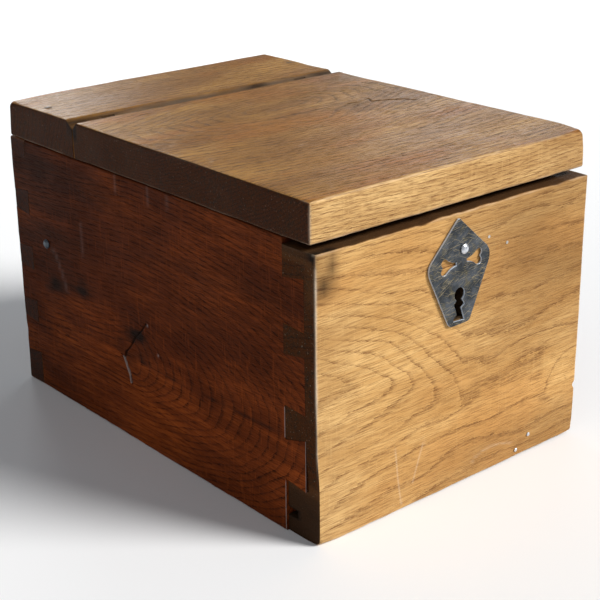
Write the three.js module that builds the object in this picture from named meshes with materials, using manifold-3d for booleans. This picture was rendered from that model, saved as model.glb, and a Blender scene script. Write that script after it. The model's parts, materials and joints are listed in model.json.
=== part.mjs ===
// A small oak strongbox used as a donation box. The front board is joined to the sides with lapped
// dovetails, the back board with through dovetails. A fixed strip closes the rear of the top, and the
// lid swings on two wire eye hinges in the groove between strip and lid. A chest lock behind the
// front board shoots its bolt through a staple under the lid.

import * as THREE from 'three';
import { mergeVertices } from 'three/addons/utils/BufferGeometryUtils.js';
import Module from 'manifold-3d';

const wasm = await Module();
wasm.setup();

// ---------------------------------------------------------------------------------------------
// Driving dimensions, in millimetres. X runs to the right, Y to the rear and Z up, from the middle
// of the box's footprint.
// ---------------------------------------------------------------------------------------------
const WIDTH = 216;
const DEPTH = 307;
const HEIGHT = 198;
const SIDE_HEIGHT = 174;
const FRONT_HEIGHT = 170.5;
const SIDE_THICKNESS = 22;
const FRONT_THICKNESS = 26.5;
const BACK_THICKNESS = 18;

// Clearance between pieces that touch, and around nails in their holes.
const GAP = 0.3;

const LEFT = -WIDTH / 2;
const RIGHT = WIDTH / 2;
const FRONT = -DEPTH / 2;
const REAR = DEPTH / 2;
const FRONT_INSIDE = FRONT + FRONT_THICKNESS;
const BACK_INSIDE = REAR - BACK_THICKNESS;

// The lid turns about the bottom of the V groove between it and the rear strip.
const HINGE_Y = FRONT + 227;
const HINGE_Z = 193;
const LID_SETBACK = 4;
const LID_UNDERSIDE = SIDE_HEIGHT + GAP;
const LID_ARRIS_RADIUS = 2.5;
const LID_CHAMFER = 4.5;
const STRIP_CHAMFER = 7;

// Dovetails, as heights above the base at the tail's root and at its tip.
const LAP = 9.5;
const FRONT_TAILS = [
  { root: [33, 57], tip: [31, 62] },
  { root: [78, 108], tip: [77, 111] },
  { root: [126, 152], tip: [125, 155] },
];
const REAR_TAILS = [
  { root: [24, 46], tip: [22, 48] },
  { root: [62, 84], tip: [60, 86] },
  { root: [101, 123], tip: [99, 125] },
  { root: [140, 161], tip: [138, 163] },
];

// The bottom board's tongue sits in grooves of this height and depth.
const GROOVE_BASE = 10;
const GROOVE_HEIGHT = 5;
const GROOVE_DEPTH = 8;
const BOTTOM_THICKNESS = 11;
const BOTTOM_BEVEL = 26;

// Wire eye hinges: two interlocking loops of wire, each driven into its own board.
const HINGE_X = [-79, 79];
const WIRE_RADIUS = 0.8;
const EYE_RADIUS = 2.5;
const HINGE_LEG_SPREAD = 3.4;
const HINGE_LEG_LENGTH = 24;
const HINGE_POCKET_RADIUS = 4.1;
const HINGE_POCKET_WIDTH = 10;

// The keyhole is a little left of the middle of the front.
const KEY_X = -2.5;
const KEY_Z = 123;
const KEY_PIPE_RADIUS = 3.6;
const ESCUTCHEON_THICKNESS = 1.3;
const WOOD_KEYHOLE_RADIUS = 4.6;
const WOOD_KEYHOLE_SLOT = 8;
const WOOD_KEYHOLE_DROP = 17;

// Chest lock. Depths count from the inside face of the front board, and offsets from the keyhole.
const LOCK_PLATE_THICKNESS = 1.6;
const LOCK_PLATE_HALF_WIDTH = 46;
const LOCK_PLATE_BASE = 98;
const LOCK_PLATE_TOP = 160;
const CASE_HALF_WIDTH = 36.5;
const CASE_BASE = 103;
const CASE_TOP = 158;
const CASE_REAR = 21.5;
const CASE_WALL = 1.5;
const CASE_EAR_HEIGHT = 10;
const CASE_NAIL_X = 40;
const CASE_NAIL_Z = [21, -14];
const PLATE_NAIL_PLACE = [24.5, 28];
const BOLT_FRONT = 10.5;
const BOLT_THICKNESS = 3;
const BOLT_BAR = [134.5, 141.5];
const BOLT_HEAD = [147.5, 152.5];
const BOLT_THROW = 9;
const GUIDE_PLACES = { left: -23, right: 19 };
const GUIDE_WIDTH = 5;
const WARD_DEPTH = 5;
const STAPLE_X = KEY_X + 6.5;
const STAPLE_THICKNESS = 3.2;
const STAPLE_FRONT = 7.3;
const STAPLE_WIDTH = 9.4;
const STAPLE_FOOT = 144.4;
const STAPLE_TANG = 13;
const STAPLE_PLATE_THICKNESS = 1.6;
const STAPLE_PLATE_HALF = [21, 10];
const STAPLE_NAIL_OFFSET = 15;
const PIN_RADIUS = 2;
const PIN_FOOT = 3;
const STUD_RADIUS = 1.5;
const STUD_PLACE = [31, 27.5];

// Nails: head radius, head height, shank radius and length under the head. A nail with a filed
// radius has had its point cut off flat at that radius.
const STRIP_NAIL = { head: 2.8, rise: 0.7, shank: 1.5, length: 46 };
const SIDE_NAIL = { head: 3.2, rise: 1.6, shank: 1.5, length: 19 };
const ESCUTCHEON_NAIL = { head: 3, rise: 1.7, shank: 1.2, length: 23 };
const BRAD = { head: 1.3, rise: 0.5, shank: 0.8, length: 24 };
const CASE_NAIL = { head: 2.5, rise: 1.2, shank: 1, length: 22 };
const FILED_RADIUS = 0.95;
const STAPLE_NAIL = { head: 2.5, rise: 1, shank: 1, length: 15 };

const ARC_STEPS = 10;
const NAIL_SIDES = 12;

// ---------------------------------------------------------------------------------------------
// Materials
// ---------------------------------------------------------------------------------------------
function material(color, roughness, metalness = 0) {
  return new THREE.MeshStandardMaterial({ color, roughness, metalness, side: THREE.FrontSide });
}

const OAK_FRONT = material('#b98442', 0.55);
const OAK_SIDE = material('#5d2f17', 0.5);
const OAK_TOP = material('#8c5c2e', 0.35);
const OAK_BACK = material('#5a3219', 0.6);
const OAK_BOTTOM = material('#6d4a2c', 0.8);
const BLACK_IRON = material('#3c4145', 0.45, 0.8);
const LOCK_IRON = material('#4a4340', 0.6, 0.8);
const BRIGHT_STEEL = material('#aab0b6', 0.3, 0.9);
const NAIL_IRON = material('#2c2724', 0.7, 0.7);

// ---------------------------------------------------------------------------------------------
// Shapes and solids
// ---------------------------------------------------------------------------------------------
const X_AXIS = new THREE.Vector3(1, 0, 0);
const Y_AXIS = new THREE.Vector3(0, 1, 0);
const Z_AXIS = new THREE.Vector3(0, 0, 1);

function polygon(points) {
  return new THREE.Shape(points.map(([u, v]) => new THREE.Vector2(u, v)));
}

function extrude(outline, depth) {
  return new THREE.ExtrudeGeometry(outline, { depth, bevelEnabled: false, curveSegments: ARC_STEPS });
}

// Extrudes an outline drawn in (y, z) between two x positions.
function alongX(outline, from, to) {
  const turn = new THREE.Matrix4().makeBasis(Y_AXIS, Z_AXIS, X_AXIS);
  return extrude(outline, to - from).applyMatrix4(turn).translate(from, 0, 0);
}

// Extrudes an outline drawn in (x, z) between two y positions.
function alongY(outline, from, to) {
  const turn = new THREE.Matrix4().makeBasis(X_AXIS, Z_AXIS, Y_AXIS.clone().negate());
  return extrude(outline, to - from).applyMatrix4(turn).translate(0, to, 0);
}

function block([x0, x1], [y0, y1], [z0, z1]) {
  const box = new THREE.BoxGeometry(x1 - x0, y1 - y0, z1 - z0);
  return box.translate((x0 + x1) / 2, (y0 + y1) / 2, (z0 + z1) / 2);
}

// A straight round bar between two points.
function rod(radius, from, to, sides = NAIL_SIDES) {
  const start = new THREE.Vector3(...from);
  const run = new THREE.Vector3(...to).sub(start);
  const bar = new THREE.CylinderGeometry(radius, radius, run.length(), sides);
  bar.translate(0, run.length() / 2, 0);
  bar.applyQuaternion(new THREE.Quaternion().setFromUnitVectors(Y_AXIS, run.clone().normalize()));
  return bar.translate(...from);
}

// A round bar at a place in (x, z) between two y positions.
function rodAlongY(radius, [x, z], from, to) {
  return rod(radius, [x, from, z], [x, to, z]);
}

function toSolid(geometry) {
  const bare = geometry.clone();
  bare.deleteAttribute('normal');
  bare.deleteAttribute('uv');
  const merged = mergeVertices(bare, 1e-4);
  return new wasm.Manifold(new wasm.Mesh({
    numProp: 3,
    vertProperties: merged.attributes.position.array,
    triVerts: new Uint32Array(merged.index.array),
  }));
}

function toGeometry(solid) {
  const mesh = solid.getMesh();
  const geometry = new THREE.BufferGeometry();
  geometry.setAttribute('position', new THREE.BufferAttribute(mesh.vertProperties, 3));
  geometry.setIndex(new THREE.BufferAttribute(mesh.triVerts, 1));
  geometry.computeVertexNormals();
  return geometry;
}

function carve(geometry, cutters) {
  return toGeometry(cutters.reduce((solid, cutter) => solid.subtract(toSolid(cutter)), toSolid(geometry)));
}

function join(geometries) {
  return toGeometry(geometries.map(toSolid).reduce((whole, solid) => whole.add(solid)));
}

// A wrought nail at a point, driven along a direction: a domed head, a round shank and a short point.
function nail({ head, rise, shank, length, filed }, at, direction) {
  const profile = [
    new THREE.Vector2(0, -length),
    filed ? new THREE.Vector2(filed, -length) : new THREE.Vector2(shank, -length + 3 * shank),
    new THREE.Vector2(shank, 0),
    new THREE.Vector2(head, 0),
    new THREE.Vector2(head * 0.95, rise * 0.35),
    new THREE.Vector2(head * 0.6, rise * 0.85),
    new THREE.Vector2(0, rise),
  ];
  const lathe = new THREE.LatheGeometry(profile, NAIL_SIDES);
  const outward = new THREE.Vector3(...direction).negate();
  lathe.applyQuaternion(new THREE.Quaternion().setFromUnitVectors(Y_AXIS, outward));
  return lathe.translate(...at);
}

// A point some way along a direction from a nail's place.
function along(at, direction, distance) {
  return new THREE.Vector3(...at).addScaledVector(new THREE.Vector3(...direction), distance).toArray();
}

// The round hole that a nail's shank needs.
function nailHole(size, at, direction) {
  return rod(size.shank + GAP, along(at, direction, -2), along(at, direction, size.length + GAP));
}

// The shallow round seat of a head that is driven flush.
function headSeat(size, at, direction) {
  return rod(size.head + GAP, along(at, direction, -2), along(at, direction, GAP));
}

const assembly = new THREE.Group();

function add(name, geometry, look) {
  const mesh = new THREE.Mesh(geometry, look);
  mesh.name = name;
  assembly.add(mesh);
}

// ---------------------------------------------------------------------------------------------
// Nail positions: a point under the head and the driving direction
// ---------------------------------------------------------------------------------------------
const INTO_BOX = [0, 1, 0];
const OUT_OF_BOX = [0, -1, 0];
const DOWN = [0, 0, -1];
const UP = [0, 0, 1];

const stripNails = [LEFT + 9, RIGHT - 7].map((x) => [x, FRONT + 269.5, HEIGHT - STRIP_NAIL.rise]);
const sideNail = [LEFT - GAP, FRONT + 269, 108];
const escutcheonNail = [KEY_X + 2.3, FRONT - ESCUTCHEON_THICKNESS - 2 * GAP, KEY_Z + 26.5];
const brads = [[64.5, FRONT - GAP, 12.5], [53.5, FRONT - GAP, 5.5]];
const lockInside = FRONT_INSIDE + GAP + LOCK_PLATE_THICKNESS;
const caseNails = CASE_NAIL_Z.flatMap((dz) => [-CASE_NAIL_X, CASE_NAIL_X].map((dx) => (
  [KEY_X + dx, lockInside + CASE_WALL + 2 * GAP, KEY_Z + dz]
)));
const plateNail = [KEY_X + PLATE_NAIL_PLACE[0], lockInside + GAP, KEY_Z + PLATE_NAIL_PLACE[1]];

// Two of the lock's nails come right through the front board, where they are filed flush.
const THROUGH = FRONT_THICKNESS + LOCK_PLATE_THICKNESS + 2 * GAP;
const PLATE_NAIL_THROUGH = { ...CASE_NAIL, length: THROUGH, filed: FILED_RADIUS };
const CASE_NAIL_THROUGH = { ...PLATE_NAIL_THROUGH, length: THROUGH + CASE_WALL + GAP };
const upperRight = 1;

function lockNailSize(index) {
  return index === upperRight ? CASE_NAIL_THROUGH : CASE_NAIL;
}

const staplePlateTop = LID_UNDERSIDE - GAP;
const staplePlateBase = staplePlateTop - STAPLE_PLATE_THICKNESS;
const stapleY = FRONT_INSIDE + STAPLE_FRONT + STAPLE_WIDTH / 2;
const stapleNails = [-STAPLE_NAIL_OFFSET, STAPLE_NAIL_OFFSET].map((offset) => (
  [STAPLE_X + offset, stapleY, staplePlateBase - GAP]
));

// ---------------------------------------------------------------------------------------------
// Dovetailed carcass
// ---------------------------------------------------------------------------------------------

// The four corners of a tail in (y, z), from its root's low corner round to its root's high corner.
// spare widens the flanks and lengthens the tip, and the root runs on past the joint by one.
function tailCorners(tail, rootY, tipY, spare = 0) {
  const over = spare ? 1 / Math.abs(tipY - rootY) : 0;
  const step = Math.sign(tipY - rootY);
  const low = tail.root[0] - (tail.tip[0] - tail.root[0]) * over - spare;
  const high = tail.root[1] - (tail.tip[1] - tail.root[1]) * over + spare;
  const rootEnd = rootY - (spare ? step : 0);
  return [
    [rootEnd, low],
    [tipY + step * spare, tail.tip[0] - spare],
    [tipY + step * spare, tail.tip[1] + spare],
    [rootEnd, high],
  ];
}

function sockets(tails, rootY, tipY) {
  const overhang = 1;
  return tails.flatMap((tail) => {
    const outline = polygon(tailCorners(tail, rootY, tipY, GAP));
    return [
      alongX(outline, LEFT - overhang, LEFT + SIDE_THICKNESS + GAP),
      alongX(outline, RIGHT - SIDE_THICKNESS - GAP, RIGHT + overhang),
    ];
  });
}

const FRONT_ROOT = FRONT_INSIDE + GAP;
const FRONT_TIP = FRONT + LAP;
const BACK_ROOT = BACK_INSIDE - GAP;

function sideBoard(outer, inner) {
  const rearTails = REAR_TAILS.flatMap((tail) => tailCorners(tail, BACK_ROOT, REAR));
  const frontTails = FRONT_TAILS.flatMap((tail) => tailCorners(tail, FRONT_ROOT, FRONT_TIP)).reverse();
  const outline = polygon([
    [FRONT_ROOT, 0],
    [BACK_ROOT, 0],
    ...rearTails,
    [BACK_ROOT, SIDE_HEIGHT],
    [FRONT_ROOT, SIDE_HEIGHT],
    ...frontTails,
  ]);
  const board = alongX(outline, Math.min(outer, inner), Math.max(outer, inner));
  const into = Math.sign(outer - inner);
  const grooveX = [inner - into, inner + into * GROOVE_DEPTH].sort((a, b) => a - b);
  const groove = block(
    grooveX,
    [FRONT_ROOT - 1, BACK_ROOT + 1],
    [GROOVE_BASE, GROOVE_BASE + GROOVE_HEIGHT],
  );
  const stripHole = stripNails.find(([x]) => Math.sign(x) === into);
  return carve(board, [groove, nailHole(STRIP_NAIL, stripHole, DOWN)]);
}

add(
  'left_side',
  carve(sideBoard(LEFT, LEFT + SIDE_THICKNESS), [nailHole(SIDE_NAIL, sideNail, [1, 0, 0])]),
  OAK_SIDE,
);
add('right_side', sideBoard(RIGHT, RIGHT - SIDE_THICKNESS), OAK_SIDE);

// A plain round-topped keyhole with a straight slot, cut through wood and lock plate.
function plainKeyhole() {
  const hole = new THREE.Shape();
  const half = WOOD_KEYHOLE_SLOT / 2;
  const shoulder = Math.acos(half / WOOD_KEYHOLE_RADIUS);
  hole.absarc(KEY_X, KEY_Z, WOOD_KEYHOLE_RADIUS, -shoulder, Math.PI + shoulder, false);
  hole.lineTo(KEY_X - half, KEY_Z - WOOD_KEYHOLE_DROP);
  hole.lineTo(KEY_X + half, KEY_Z - WOOD_KEYHOLE_DROP);
  return hole;
}

const frontGroove = block(
  [LEFT - 1, RIGHT + 1],
  [FRONT_INSIDE - GROOVE_DEPTH, FRONT_INSIDE + 1],
  [GROOVE_BASE, GROOVE_BASE + GROOVE_HEIGHT],
);
add(
  'front_board',
  carve(block([LEFT, RIGHT], [FRONT, FRONT_INSIDE], [0, FRONT_HEIGHT]), [
    ...sockets(FRONT_TAILS, FRONT_ROOT, FRONT_TIP),
    frontGroove,
    alongY(plainKeyhole(), FRONT - 1, FRONT_INSIDE + 1),
    nailHole(ESCUTCHEON_NAIL, escutcheonNail, INTO_BOX),
    ...brads.map((at) => nailHole(BRAD, at, INTO_BOX)),
    ...caseNails.map((at, index) => nailHole(lockNailSize(index), at, OUT_OF_BOX)),
    nailHole(PLATE_NAIL_THROUGH, plateNail, OUT_OF_BOX),
  ]),
  OAK_FRONT,
);

const backGroove = block(
  [LEFT + SIDE_THICKNESS - GROOVE_DEPTH, RIGHT - SIDE_THICKNESS + GROOVE_DEPTH],
  [BACK_INSIDE - 1, BACK_INSIDE + GROOVE_DEPTH],
  [GROOVE_BASE, GROOVE_BASE + GROOVE_HEIGHT],
);
add(
  'back_board',
  carve(block([LEFT, RIGHT], [BACK_INSIDE, REAR], [0, SIDE_HEIGHT]), [
    ...sockets(REAR_TAILS, BACK_ROOT, REAR + 1),
    backGroove,
  ]),
  OAK_BACK,
);

// The bottom board is flat on top, and bevelled underneath down to the tongue that fills the grooves.
function bottomBoard() {
  const reach = GROOVE_DEPTH - 2 * GAP;
  const x = RIGHT - SIDE_THICKNESS + reach;
  const yFront = FRONT_INSIDE - reach;
  const yRear = BACK_INSIDE + reach;
  const top = GROOVE_BASE + GROOVE_HEIGHT - GAP;
  const tongue = GROOVE_BASE + GAP;
  const under = top - BOTTOM_THICKNESS;
  const section = (low, high) => polygon([
    [low, tongue],
    [low + reach + 1, tongue],
    [low + BOTTOM_BEVEL, under],
    [high - BOTTOM_BEVEL, under],
    [high - reach - 1, tongue],
    [high, tongue],
    [high, top],
    [low, top],
  ]);
  const crossways = toSolid(alongY(section(-x, x), yFront, yRear));
  const lengthways = toSolid(alongX(section(yFront, yRear), -x, x));
  const bradHole = toSolid(nailHole(BRAD, brads[0], INTO_BOX));
  return toGeometry(crossways.intersect(lengthways).subtract(bradHole));
}

add('bottom_board', bottomBoard(), OAK_BOTTOM);

// ---------------------------------------------------------------------------------------------
// Rear strip and lid
// ---------------------------------------------------------------------------------------------
function hingePocket(x) {
  const half = HINGE_POCKET_WIDTH / 2;
  return rod(HINGE_POCKET_RADIUS, [x - half, HINGE_Y, HINGE_Z], [x + half, HINGE_Y, HINGE_Z], 20);
}

function hingeLegs(x) {
  return [-HINGE_LEG_SPREAD, HINGE_LEG_SPREAD].map((offset) => {
    const end = HINGE_Y + HINGE_LEG_LENGTH + GAP;
    return rod(WIRE_RADIUS + GAP, [x + offset, HINGE_Y, HINGE_Z], [x + offset, end, HINGE_Z]);
  });
}

const stripOutline = polygon([
  [HINGE_Y + GAP, LID_UNDERSIDE],
  [REAR, LID_UNDERSIDE],
  [REAR, HEIGHT],
  [HINGE_Y + STRIP_CHAMFER, HEIGHT],
  [HINGE_Y + GAP, HINGE_Z],
]);
add(
  'rear_strip',
  carve(alongX(stripOutline, LEFT, RIGHT), [
    ...HINGE_X.map(hingePocket),
    ...HINGE_X.flatMap(hingeLegs),
    ...stripNails.map((at) => nailHole(STRIP_NAIL, at, DOWN)),
    ...stripNails.map((at) => headSeat(STRIP_NAIL, at, DOWN)),
  ]),
  OAK_TOP,
);

function lidOutline() {
  const front = FRONT + LID_SETBACK;
  const rear = HINGE_Y - GAP;
  const outline = new THREE.Shape();
  outline.moveTo(front, LID_UNDERSIDE);
  outline.lineTo(rear, LID_UNDERSIDE);
  outline.lineTo(rear, HINGE_Z);
  outline.lineTo(rear - LID_CHAMFER, HEIGHT);
  outline.lineTo(front + LID_ARRIS_RADIUS, HEIGHT);
  outline.absarc(front + LID_ARRIS_RADIUS, HEIGHT - LID_ARRIS_RADIUS, LID_ARRIS_RADIUS, Math.PI / 2, Math.PI);
  return outline;
}

function lidShankHole(x) {
  const end = HINGE_Y - EYE_RADIUS - HINGE_LEG_LENGTH - GAP;
  return rod(WIRE_RADIUS + GAP, [x, HINGE_Y, HINGE_Z], [x, end, HINGE_Z]);
}

const stapleMortise = block(
  [STAPLE_X - STAPLE_THICKNESS / 2 - GAP, STAPLE_X + STAPLE_THICKNESS / 2 + GAP],
  [stapleY - STAPLE_WIDTH / 2 - GAP, stapleY + STAPLE_WIDTH / 2 + GAP],
  [STAPLE_FOOT, LID_UNDERSIDE + STAPLE_TANG + GAP],
);
add(
  'lid_board',
  carve(alongX(lidOutline(), LEFT, RIGHT), [
    ...HINGE_X.map(hingePocket),
    ...HINGE_X.map(lidShankHole),
    stapleMortise,
    ...stapleNails.map((at) => nailHole(STAPLE_NAIL, at, UP)),
  ]),
  OAK_TOP,
);

stripNails.forEach((at, index) => {
  add(`strip_nail_${index + 1}`, nail(STRIP_NAIL, at, DOWN), NAIL_IRON);
});
add('side_nail', nail(SIDE_NAIL, sideNail, [1, 0, 0]), BRIGHT_STEEL);

// ---------------------------------------------------------------------------------------------
// Wire eye hinges
// ---------------------------------------------------------------------------------------------

// A U of wire whose cross-bar lies on the hinge axis, with both legs driven into the strip.
function stripEye(x) {
  const bend = 1.6;
  const spread = HINGE_LEG_SPREAD;
  const end = HINGE_Y + HINGE_LEG_LENGTH;
  const at = (dx, y) => new THREE.Vector3(x + dx, y, HINGE_Z);
  const wire = new THREE.CurvePath();
  wire.add(new THREE.LineCurve3(at(-spread, end), at(-spread, HINGE_Y + bend)));
  wire.add(new THREE.QuadraticBezierCurve3(
    at(-spread, HINGE_Y + bend),
    at(-spread, HINGE_Y),
    at(-spread + bend, HINGE_Y),
  ));
  wire.add(new THREE.LineCurve3(at(-spread + bend, HINGE_Y), at(spread - bend, HINGE_Y)));
  wire.add(new THREE.QuadraticBezierCurve3(
    at(spread - bend, HINGE_Y),
    at(spread, HINGE_Y),
    at(spread, HINGE_Y + bend),
  ));
  wire.add(new THREE.LineCurve3(at(spread, HINGE_Y + bend), at(spread, end)));
  const section = new THREE.Shape().absarc(0, 0, WIRE_RADIUS, 0, 2 * Math.PI);
  return new THREE.ExtrudeGeometry(section, { extrudePath: wire, steps: 60, curveSegments: 4 });
}

// A ring of wire round the cross-bar, with a shank driven into the lid.
function lidEye(x) {
  const ring = new THREE.TorusGeometry(EYE_RADIUS, WIRE_RADIUS, 8, 20);
  ring.rotateY(Math.PI / 2).translate(x, HINGE_Y, HINGE_Z);
  const start = HINGE_Y - EYE_RADIUS;
  return join([ring, rod(WIRE_RADIUS, [x, start, HINGE_Z], [x, start - HINGE_LEG_LENGTH, HINGE_Z], 8)]);
}

HINGE_X.forEach((x, index) => {
  const side = ['left', 'right'][index];
  add(`hinge_${side}_strip_eye`, stripEye(x), LOCK_IRON);
  add(`hinge_${side}_lid_eye`, lidEye(x), LOCK_IRON);
});

// ---------------------------------------------------------------------------------------------
// Escutcheon. Its points are (x, z) offsets from the keyhole's centre.
// ---------------------------------------------------------------------------------------------

// A closed outline with every corner rounded by its own radius.
function roundedOutline(corners) {
  const outline = new THREE.Shape();
  corners.forEach(([x, z, radius], index) => {
    const corner = new THREE.Vector2(x, z);
    const before = new THREE.Vector2(...corners.at(index - 1)).sub(corner).setLength(radius).add(corner);
    const after = new THREE.Vector2(...corners[(index + 1) % corners.length]);
    after.sub(corner).setLength(radius).add(corner);
    outline[index ? 'lineTo' : 'moveTo'](before.x, before.y);
    outline.quadraticCurveTo(x, z, after.x, after.y);
  });
  return outline;
}

// A heart lying on its side, with its point at a place and its lobes away from it.
function heart(pointX, pointZ, toward) {
  const u = (along) => pointX + toward * along;
  const shape = new THREE.Shape();
  shape.moveTo(u(0), pointZ + 0.9);
  shape.quadraticCurveTo(u(4.5), pointZ + 1.2, u(7.4), pointZ + 4);
  shape.bezierCurveTo(u(9.4), pointZ + 5.8, u(12.8), pointZ + 4.4, u(12), pointZ + 1.8);
  shape.lineTo(u(10.9), pointZ);
  shape.lineTo(u(12), pointZ - 1.8);
  shape.bezierCurveTo(u(12.8), pointZ - 4.4, u(9.4), pointZ - 5.8, u(7.4), pointZ - 4);
  shape.quadraticCurveTo(u(4.5), pointZ - 1.2, u(0), pointZ - 0.9);
  return shape;
}

// A round pipe hole over a cranked slot with a foot, as cut for a warded key.
function keyhole() {
  const hole = new THREE.Shape();
  hole.absarc(KEY_X, KEY_Z, KEY_PIPE_RADIUS, -0.9, Math.PI + 0.75, false);
  const slot = [
    [-3.9, -5.8],
    [-3, -8.6],
    [-0.9, -12.4],
    [-4, -13.2],
    [-4.1, -15.4],
    [4.2, -16.2],
    [1.5, -7.9],
    [3.6, -6.8],
  ];
  slot.forEach(([x, z]) => hole.lineTo(KEY_X + x, KEY_Z + z));
  return hole;
}

const escutcheonOutline = roundedOutline([
  [-2.2, 45.4, 1.5],
  [-26.6, 20, 6],
  [-7.6, -18.6, 3],
  [8.6, -18.2, 2],
  [25.6, 20.5, 7],
].map(([x, z, radius]) => [KEY_X + x, KEY_Z + z, radius]));
const escutcheonBack = FRONT - GAP;
const through = [escutcheonBack - ESCUTCHEON_THICKNESS - 1, escutcheonBack + 1];
add(
  'escutcheon',
  carve(alongY(escutcheonOutline, escutcheonBack - ESCUTCHEON_THICKNESS, escutcheonBack), [
    alongY(keyhole(), ...through),
    alongY(heart(KEY_X - 3.2, KEY_Z + 18.7, -1), ...through),
    alongY(heart(KEY_X + 5, KEY_Z + 19.2, 1), ...through),
    nailHole(ESCUTCHEON_NAIL, escutcheonNail, INTO_BOX),
  ]),
  BLACK_IRON,
);
add('escutcheon_nail', nail(ESCUTCHEON_NAIL, escutcheonNail, INTO_BOX), BRIGHT_STEEL);
brads.forEach((at, index) => add(`front_brad_${index + 1}`, nail(BRAD, at, INTO_BOX), BRIGHT_STEEL));

// ---------------------------------------------------------------------------------------------
// Chest lock
// ---------------------------------------------------------------------------------------------
const plateFront = FRONT_INSIDE + GAP;
const caseRear = FRONT_INSIDE + CASE_REAR;
const boltY = [FRONT_INSIDE + BOLT_FRONT, FRONT_INSIDE + BOLT_FRONT + BOLT_THICKNESS];
const springStud = [KEY_X + STUD_PLACE[0], KEY_Z + STUD_PLACE[1]];

add(
  'lock_plate',
  carve(
    block(
      [KEY_X - LOCK_PLATE_HALF_WIDTH, KEY_X + LOCK_PLATE_HALF_WIDTH],
      [plateFront, lockInside],
      [LOCK_PLATE_BASE, LOCK_PLATE_TOP],
    ),
    [
      alongY(plainKeyhole(), plateFront - 1, lockInside + 1),
      ...caseNails.map((at) => nailHole(CASE_NAIL, at, OUT_OF_BOX)),
      nailHole(PLATE_NAIL_THROUGH, plateNail, OUT_OF_BOX),
    ],
  ),
  LOCK_IRON,
);

// An open-fronted iron pan over the works, held by an ear at each side, slotted for the staple.
function lockCase() {
  const front = lockInside + GAP;
  const outer = block(
    [KEY_X - CASE_HALF_WIDTH, KEY_X + CASE_HALF_WIDTH],
    [front, caseRear],
    [CASE_BASE, CASE_TOP],
  );
  const inner = block(
    [KEY_X - CASE_HALF_WIDTH + CASE_WALL, KEY_X + CASE_HALF_WIDTH - CASE_WALL],
    [front - 1, caseRear - CASE_WALL],
    [CASE_BASE + CASE_WALL, CASE_TOP - CASE_WALL],
  );
  const ears = CASE_NAIL_Z.flatMap((dz) => [-1, 1].map((side) => {
    const reach = [side * (CASE_HALF_WIDTH - CASE_WALL), side * (LOCK_PLATE_HALF_WIDTH - 1)];
    return block(
      reach.map((offset) => KEY_X + offset).sort((a, b) => a - b),
      [front, front + CASE_WALL],
      [KEY_Z + dz - CASE_EAR_HEIGHT / 2, KEY_Z + dz + CASE_EAR_HEIGHT / 2],
    );
  }));
  const stapleSlot = block(
    [STAPLE_X - STAPLE_THICKNESS / 2 - 1, STAPLE_X + STAPLE_THICKNESS / 2 + 1],
    [stapleY - STAPLE_WIDTH / 2 - 4, stapleY + STAPLE_WIDTH / 2 + 1],
    [CASE_TOP - CASE_WALL - 1, CASE_TOP + 1],
  );
  const throughBack = [caseRear - CASE_WALL - 1, caseRear + 1];
  const pinHole = rodAlongY(PIN_RADIUS + GAP, [KEY_X, KEY_Z], ...throughBack);
  const studHole = rodAlongY(STUD_RADIUS + GAP, springStud, ...throughBack);
  const shell = carve(outer, [inner, stapleSlot, pinHole, studHole]);
  return carve(join([shell, ...ears]), caseNails.map((at) => nailHole(CASE_NAIL, at, OUT_OF_BOX)));
}

add('lock_case', lockCase(), LOCK_IRON);
caseNails.forEach((at, index) => {
  add(`lock_nail_${index + 1}`, nail(lockNailSize(index), at, OUT_OF_BOX), NAIL_IRON);
});
add('lock_plate_nail', nail(PLATE_NAIL_THROUGH, plateNail, OUT_OF_BOX), NAIL_IRON);

// The pin that a hollow key turns on, riveted in the back of the case.
add('key_pin', rodAlongY(PIN_RADIUS, [KEY_X, KEY_Z], lockInside + PIN_FOOT, caseRear), LOCK_IRON);
add('spring_stud', rodAlongY(STUD_RADIUS, springStud, lockInside + GAP, caseRear), LOCK_IRON);

// A ward: most of a ring round the keyhole, open below where the key's bit goes in.
function ward() {
  const outer = 9.4;
  const inner = 8.2;
  const open = 0.55;
  const ring = new THREE.Shape();
  ring.absarc(KEY_X, KEY_Z, outer, -Math.PI / 2 + open, 1.5 * Math.PI - open, false);
  ring.absarc(KEY_X, KEY_Z, inner, 1.5 * Math.PI - open, -Math.PI / 2 + open, true);
  return alongY(ring, lockInside + GAP, lockInside + WARD_DEPTH);
}

add('key_ward', ward(), LOCK_IRON);

// The bolt: a bar with a notch for the key, and an arm whose head reaches into the staple.
function boltOutline() {
  const notch = 12.8;
  const notchCentre = -BOLT_THROW / 2;
  const notchRoof = BOLT_BAR[0] + 4.5;
  const bar = [-34, 25];
  const arm = [-16, -9];
  const tip = 3;
  return polygon([
    [bar[0], BOLT_BAR[0]],
    [notchCentre - notch / 2, BOLT_BAR[0]],
    [notchCentre - notch / 2, notchRoof],
    [notchCentre + notch / 2, notchRoof],
    [notchCentre + notch / 2, BOLT_BAR[0]],
    [bar[1], BOLT_BAR[0]],
    [bar[1], BOLT_BAR[1]],
    [arm[1], BOLT_BAR[1]],
    [arm[1], BOLT_HEAD[0]],
    [tip, BOLT_HEAD[0]],
    [tip, BOLT_HEAD[1] - 1.5],
    [tip - 1.5, BOLT_HEAD[1]],
    [arm[0], BOLT_HEAD[1]],
    [arm[0], BOLT_BAR[1]],
    [bar[0], BOLT_BAR[1]],
  ].map(([x, z]) => [KEY_X + x, z]));
}

add('lock_bolt', alongY(boltOutline(), ...boltY), BLACK_IRON);

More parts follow.
